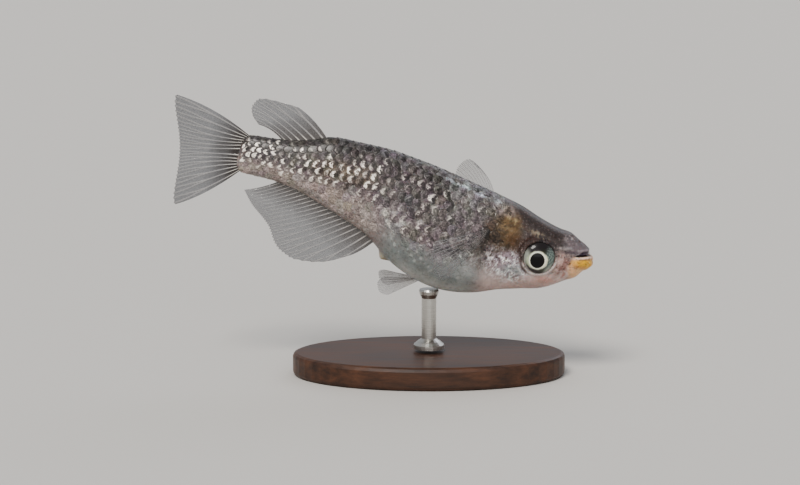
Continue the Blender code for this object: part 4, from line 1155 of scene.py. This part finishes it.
def scale_material():
    """Thin bony scales over a silver layer: dark ink at the edges and a bright crescent on each, partly the
    silver's own colour and partly a painted highlight.
    """
    material, tree, shader = new_material(
        "silvered_scale",
        IOR=1.45,
        Specular_IOR_Level=0.4,
        Coat_Weight=0.18,
        Coat_Roughness=0.24,
        Coat_IOR=1.34,
    )
    paint = add(tree, "ShaderNodeVertexColor", {"layer_name": "markings"})
    ink, silver_highlight_strength, spark, own, uneven_by, lean = (
        add(tree, ATTRIBUTE, {"attribute_name": name}).outputs["Fac"]
        for name in ("ink", "silver_highlight_strength", "spark", "tone", "unevenness", "lean")
    )
    where = add(tree, COORDINATES).outputs["Object"]
    # Grain of the silver layer, about 0.15 mm across.
    grain = add(tree, NOISE, Vector=where, Scale=4200.0, Detail=3.0, Roughness=0.6)
    plate = add(tree, "ShaderNodeUVMap", {"uv_map": "plate"})
    parts = add(tree, "ShaderNodeSeparateXYZ", Vector=plate)
    # The distance from the middle of the plate, so that rings follow its rounded rear edge.
    across = add(tree, MATH, SUBTRACT, i0=parts.outputs["Y"], i1=0.5)
    square = add(tree, MATH, MULTIPLY, i0=across, i1=across)
    bent = add(tree, MATH, MULTIPLY, i0=square, i1=0.15)
    run = add(tree, MATH, ADD, i0=parts.outputs["X"], i1=bent)
    # The highlight crescent's place differs from scale to scale, and its edges are uneven.
    uneven = add(tree, RANGE, Value=grain, From_Min=0.3, From_Max=0.7, To_Min=-0.14, To_Max=0.14)
    own_place = add(tree, RANGE, Value=own, To_Min=-0.05, To_Max=0.07)
    shifted = add(tree, MATH, ADD, i0=run, i1=uneven)
    shifted = add(tree, MATH, ADD, i0=shifted, i1=own_place)
    shifted = add(tree, MATH, MULTIPLY_ADD, i0=across, i1=lean, i2=shifted)
    highlight_crescent = add(tree, "ShaderNodeValToRGB", Fac=shifted)
    stops(highlight_crescent, (0.61, 0.0), (0.76, 1.0), (0.84, 1.0), (0.95, 0.0))
    narrow = add(tree, RANGE, Value=square, From_Min=0.05, From_Max=0.17, To_Min=1.0, To_Max=0.0)
    silver_highlight = add(tree, MATH, MULTIPLY, i0=highlight_crescent, i1=silver_highlight_strength)
    silver_highlight = add(tree, MATH, MULTIPLY, i0=silver_highlight, i1=narrow)
    patchy = add(tree, RANGE, Value=grain, From_Min=0.34, From_Max=0.56, To_Min=0.35, To_Max=1.0)
    silver_highlight = add(tree, MATH, MULTIPLY, i0=silver_highlight, i1=patchy)
    # The weak ones keep only their middle line.
    silver_highlight = add(tree, RANGE, Value=silver_highlight, From_Min=0.16, From_Max=0.80)
    border = add(tree, "ShaderNodeValToRGB", Fac=shifted)
    stops(border, (0.40, 1.0), (0.60, 0.85), (0.72, 0.10), (0.88, 0.0), (0.99, 0.7))
    inking = add(tree, MATH, MULTIPLY, i0=border, i1=ink)
    # Each scale is a little lighter or darker than the next, and so are the grains within it.
    strength = add(tree, RANGE, Value=grain, From_Min=0.38, From_Max=0.62)
    strength = add(tree, MATH, MULTIPLY_ADD, i0=strength, i1=1.5, i2=own)
    uneven = add(tree, RANGE, Value=strength, From_Max=2.5, To_Min=-0.62, To_Max=0.62)
    strength = add(tree, MATH, MULTIPLY_ADD, i0=uneven, i1=uneven_by, i2=1.0)
    varied = add(tree, VECTOR_MATH, SCALE, i0=paint, Scale=strength)
    inked = add(tree, MIX, COLOUR_MULTIPLY, Factor=inking, A=varied, B=linear("#665C55"))
    # Painted highlight: the crescent is laid over the silver in a pale cream.
    highlighted = add(tree, MIX, COLOUR_MIX, Factor=silver_highlight, A=inked, B=linear("#FFF6EA"))
    # Ink cells and crystals, 0.1 to 0.2 mm across, break up every colour.
    cells = add(tree, NOISE, Vector=where, Scale=8000.0, Detail=2.0, Roughness=0.7)
    broken = add(tree, RANGE, Value=cells, From_Min=0.35, From_Max=0.65, To_Min=0.60, To_Max=1.40)
    broken = add(tree, VECTOR_MATH, SCALE, i0=highlighted, Scale=broken)
    metal = add(tree, RANGE, Value=silver_highlight, To_Min=0.05, To_Max=0.30)
    rough = add(tree, RANGE, Value=spark, To_Min=0.24, To_Max=0.42)
    join(tree, shader, Base_Color=broken, Metallic=metal, Roughness=rough)
    return material


def stops(node, *pairs):
    """Sets a colour ramp to these greys or linear colours at these places."""
    elements = node.color_ramp.elements
    while len(elements) > 1:
        elements.remove(elements[-1])
    for index, (position, colour) in enumerate(pairs):
        stop = elements.new(position) if index else elements[0]
        stop.position = position
        stop.color = colour if isinstance(colour, list) else (colour, colour, colour, 1.0)


def fin_material(name, web_alpha, ray_alpha, root_ray, root_web, white_until=1.6, at_root=None):
    """Clear fin membrane stiffened by pale jointed rays.

    Near the root the rays are whitest, out to so many millimetres, and the web between them dark; towards
    the rim both fade to clear grey. The opacities are those of web and rays at the rim and, at the root,
    those given, or a stronger web with solid rays.
    """
    root_web_alpha, root_ray_alpha = at_root or (min(1.0, 1.5 * web_alpha), 1.0)
    material, tree, shader = new_material(name, IOR=1.38, Roughness=0.42, Coat_Weight=0.1)
    rib = add(tree, ATTRIBUTE, {"attribute_name": "rib"}).outputs["Fac"]
    reach = add(tree, ATTRIBUTE, {"attribute_name": "reach"}).outputs["Fac"]
    where = add(tree, COORDINATES).outputs["Object"]
    cloud = add(tree, NOISE, Vector=where, Scale=900.0, Detail=3.0, Roughness=0.6)
    uneven = add(tree, RANGE, Value=cloud, To_Min=-0.9, To_Max=0.9)
    shifted = add(tree, MATH, ADD, i0=reach, i1=uneven)
    solid = add(tree, RANGE, Value=rib, From_Min=0.25, From_Max=0.8)
    outward = add(tree, RANGE, Value=shifted, From_Min=0.8, From_Max=3.4)
    web = add(tree, MIX, COLOUR_MIX, Factor=outward, A=linear(root_web), B=linear("#6E7074"))
    white = add(tree, RANGE, Value=shifted, From_Min=0.3, From_Max=white_until)
    ray = add(tree, MIX, COLOUR_MIX, Factor=white, A=linear(root_ray), B=linear("#A5A3A2"))
    colour = add(tree, MIX, COLOUR_MIX, Factor=solid, A=web, B=ray)
    # Each ray is made of joints about a quarter of a millimetre long.
    joint = add(tree, MATH, MULTIPLY, i0=reach, i1=24.0)
    beat = add(tree, MATH, {"operation": "SINE"}, i0=joint)
    dark = add(tree, RANGE, Value=beat, From_Min=0.6, From_Max=1.0, To_Max=0.30)
    jointed = add(tree, MIX, COLOUR_MIX, Factor=dark, A=colour, B=linear("#5C5553"))
    membrane = add(tree, RANGE, Value=outward, To_Min=root_web_alpha, To_Max=web_alpha)
    bone = add(tree, RANGE, Value=outward, To_Min=root_ray_alpha, To_Max=ray_alpha)
    alpha = add(tree, MIX, {"data_type": "FLOAT"}, Factor=solid, A=membrane, B=bone)
    join(tree, shader, Base_Color=jointed, Alpha=alpha)
    return material


def eye_material():
    """A living eye under a wet, clear cornea."""
    material, tree, shader = new_material(
        "wet_eye",
        IOR=1.38,
        Roughness=0.3,
        Specular_IOR_Level=0.3,
        Coat_Weight=0.65,
        Coat_Roughness=0.02,
        Coat_IOR=1.376,
    )
    paint = add(tree, "ShaderNodeVertexColor", {"layer_name": "iris"})
    where = add(tree, COORDINATES).outputs["Object"]
    fibres = add(tree, NOISE, Vector=where, Scale=6000.0, Detail=3.0)
    shade = add(tree, RANGE, Value=fibres, To_Min=0.75, To_Max=1.2)
    mixed = add(tree, VECTOR_MATH, SCALE, i0=paint, Scale=shade)
    join(tree, shader, Base_Color=mixed)
    return material


def wood_material():
    """Dark stained walnut under a satin wax: fine grain along the base."""
    material, tree, shader = new_material("waxed_walnut", IOR=1.5, Coat_Weight=0.15, Coat_Roughness=0.25)
    where = add(tree, COORDINATES).outputs["Object"]
    drawn = add(tree, "ShaderNodeMapping", Vector=where, Scale=(90.0, 900.0, 900.0))
    grain = add(tree, NOISE, Vector=drawn, Scale=1.6, Detail=6.0, Roughness=0.65)
    tint = add(tree, "ShaderNodeValToRGB", Fac=grain)
    stops(tint, (0.32, linear("#2A1A12")), (0.72, linear("#5B3A26")))
    rough = add(tree, RANGE, Value=grain, To_Min=0.34, To_Max=0.55)
    bump = add(tree, "ShaderNodeBump", Height=grain, Strength=0.3, Distance=0.00003)
    join(tree, shader, Base_Color=tint, Roughness=rough, Normal=bump)
    return material


def steel_material():
    """Satin steel, turned: faint rings round the rod."""
    material, tree, shader = new_material("turned_steel", Metallic=1.0)
    where = add(tree, COORDINATES).outputs["Object"]
    rings = add(tree, "ShaderNodeMapping", Vector=where, Scale=(400.0, 400.0, 14000.0))
    noise = add(tree, NOISE, Vector=rings, Scale=1.0, Detail=3.0)
    tint = add(tree, MIX, COLOUR_MIX, Factor=noise, A=linear("#B9B7B2"), B=linear("#D2D0CB"))
    rough = add(tree, RANGE, Value=noise, To_Min=0.22, To_Max=0.36)
    join(tree, shader, Base_Color=tint, Roughness=rough)
    return material


def dress(obj, material, slot, *nodes):
    """Gives a piece its finish, lets it ride on the part and stand for its CAD nodes."""
    obj.data.materials.clear()
    obj.data.materials.append(material)
    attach(obj, "root")
    if nodes:
        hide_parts(*nodes)


def make_camera():
    """The camera looks down at what the photograph's centre shows, with the lens that gives its scale."""
    snout = to_world(place(np.array(0.0), 0.0, SNOUT_UP))
    c, s = math.cos(CAMERA_ELEVATION), math.sin(CAMERA_ELEVATION)
    across = (VIEW_WIDTH / 2 - SNOUT_PIXEL[0]) / PIXELS_PER_METRE
    down = (VIEW_HEIGHT / 2 - SNOUT_PIXEL[1]) / PIXELS_PER_METRE
    centre = snout + np.array([across, -down * s, -down * c])
    data = bpy.data.cameras.new("camera")
    data.sensor_width = SENSOR
    data.lens = PIXELS_PER_METRE * CAMERA_AWAY / VIEW_WIDTH * SENSOR
    data.clip_start = CLIP_START
    data.clip_end = CLIP_END
    camera = bpy.data.objects.new("camera", data)
    camera.location = centre - np.array([0.0, c, -s]) * CAMERA_AWAY
    camera.rotation_euler = (math.pi / 2 - CAMERA_ELEVATION, 0, 0)
    bpy.context.scene.collection.objects.link(camera)
    bpy.context.scene.camera = camera


def sun_light(name, way, spread, strength, colour):
    """A broad soft lamp far away, in the direction that way points to."""
    data = bpy.data.lights.new(name, "SUN")
    data.angle = spread
    data.energy = strength
    data.color = linear(colour)[:3]
    light = bpy.data.objects.new(name, data)
    light.rotation_euler = Vector(way).to_track_quat("Z", "Y").to_euler()
    bpy.context.scene.collection.objects.link(light)


def make_studio():
    """A pale floor under soft lamps, with a faint sky all round."""
    bpy.ops.mesh.primitive_plane_add(size=4.0)
    floor = bpy.context.object
    floor.name = "floor"
    paper, _, _ = new_material("matt_paper", Roughness=0.9, IOR=1.45, Base_Color=linear("#C9C6C1"))
    floor.data.materials.append(paper)
    sun_light("key", (-0.35, -0.75, 1.0), math.radians(24), 2.2, "#FFFBF6")
    sun_light("fill", (0.15, -1.0, 0.14), math.radians(50), 0.7, "#F4F2F0")
    sun_light("back", (0.5, 0.9, 0.8), math.radians(34), 0.3, "#F0F4FF")
    world = bpy.data.worlds.new("sky")
    world.use_nodes = True
    join(world.node_tree, world.node_tree.nodes["Background"], Color=linear("#DADDE2"), Strength=0.65)
    scene = bpy.context.scene
    scene.world = world
    scene.view_settings.view_transform = "AgX"
    scene.view_settings.look = "AgX - Medium High Contrast"


def dress_fins():
    """Makes every fin in its own membrane and lets it take the place of its node."""
    tail_web = fin_material("clear_fin_membrane", 0.55, 0.85, "#E6E2DA", "#37312F")
    back_web = fin_material("dorsal_fin_membrane", 0.50, 0.80, "#D6D1C8", "#5C5856", 0.9)
    long_web = fin_material("long_fin_membrane", 0.48, 0.76, "#B9B5B0", "#55504E")
    fine = fin_material("thin_breast_fin", 0.17, 0.50, "#B9B5B0", "#5A5553", at_root=(0.10, 0.42))
    belly_web = fin_material("belly_fin_membrane", 0.22, 0.55, "#C9C5C0", "#5A5553")
    dorsal = (DORSAL_ROOT, DORSAL_TIPS, True, DORSAL_RAYS, DORSAL_BOW, 0.45, 0.10 * MM)
    dress(median_fin("dorsal_web", *dorsal), back_web, "fin", "dorsal_fin")
    anal = (ANAL_ROOT, ANAL_TIPS, False, ANAL_RAYS, ANAL_BOW, 0.6, 0.12 * MM)
    dress(median_fin("anal_web", *anal), long_web, "fin", "anal_fin")
    dress(caudal_fin(), tail_web, "fin", "caudal_fin")
    dress(pectoral_fin("pectoral_web_left", 1, *PECTORAL_LEFT), fine, "fin", "pectoral_fin_left")
    dress(pectoral_fin("pectoral_web_right", -1, *PECTORAL_RIGHT), fine, "fin", "pectoral_fin_right")
    dress(pelvic_fin("pelvic_web_left", 1, PELVIC_LEFT), belly_web, "fin", "pelvic_fin_left")
    dress(pelvic_fin("pelvic_web_right", -1, PELVIC_RIGHT), belly_web, "fin", "pelvic_fin_right")


def dress_stand():
    """The base and the rod keep their nodes' shapes and take a wood and a steel finish."""
    for name, material in (("stand_base", wood_material()), ("stand_rod", steel_material())):
        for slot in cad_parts[name].material_slots:
            slot.material = material


make_camera()
make_studio()
dress(make_skin(), skin_material(), "skin", "head", "lower_jaw", "trunk", "tail")
dress(make_scales(), scale_material(), "skin")
wet_eye = eye_material()
dress(make_eye("eyeball_left", 1), wet_eye, "eye", "eye_left")
dress(make_eye("eyeball_right", -1), wet_eye, "eye", "eye_right")
dress_fins()
dress_stand()
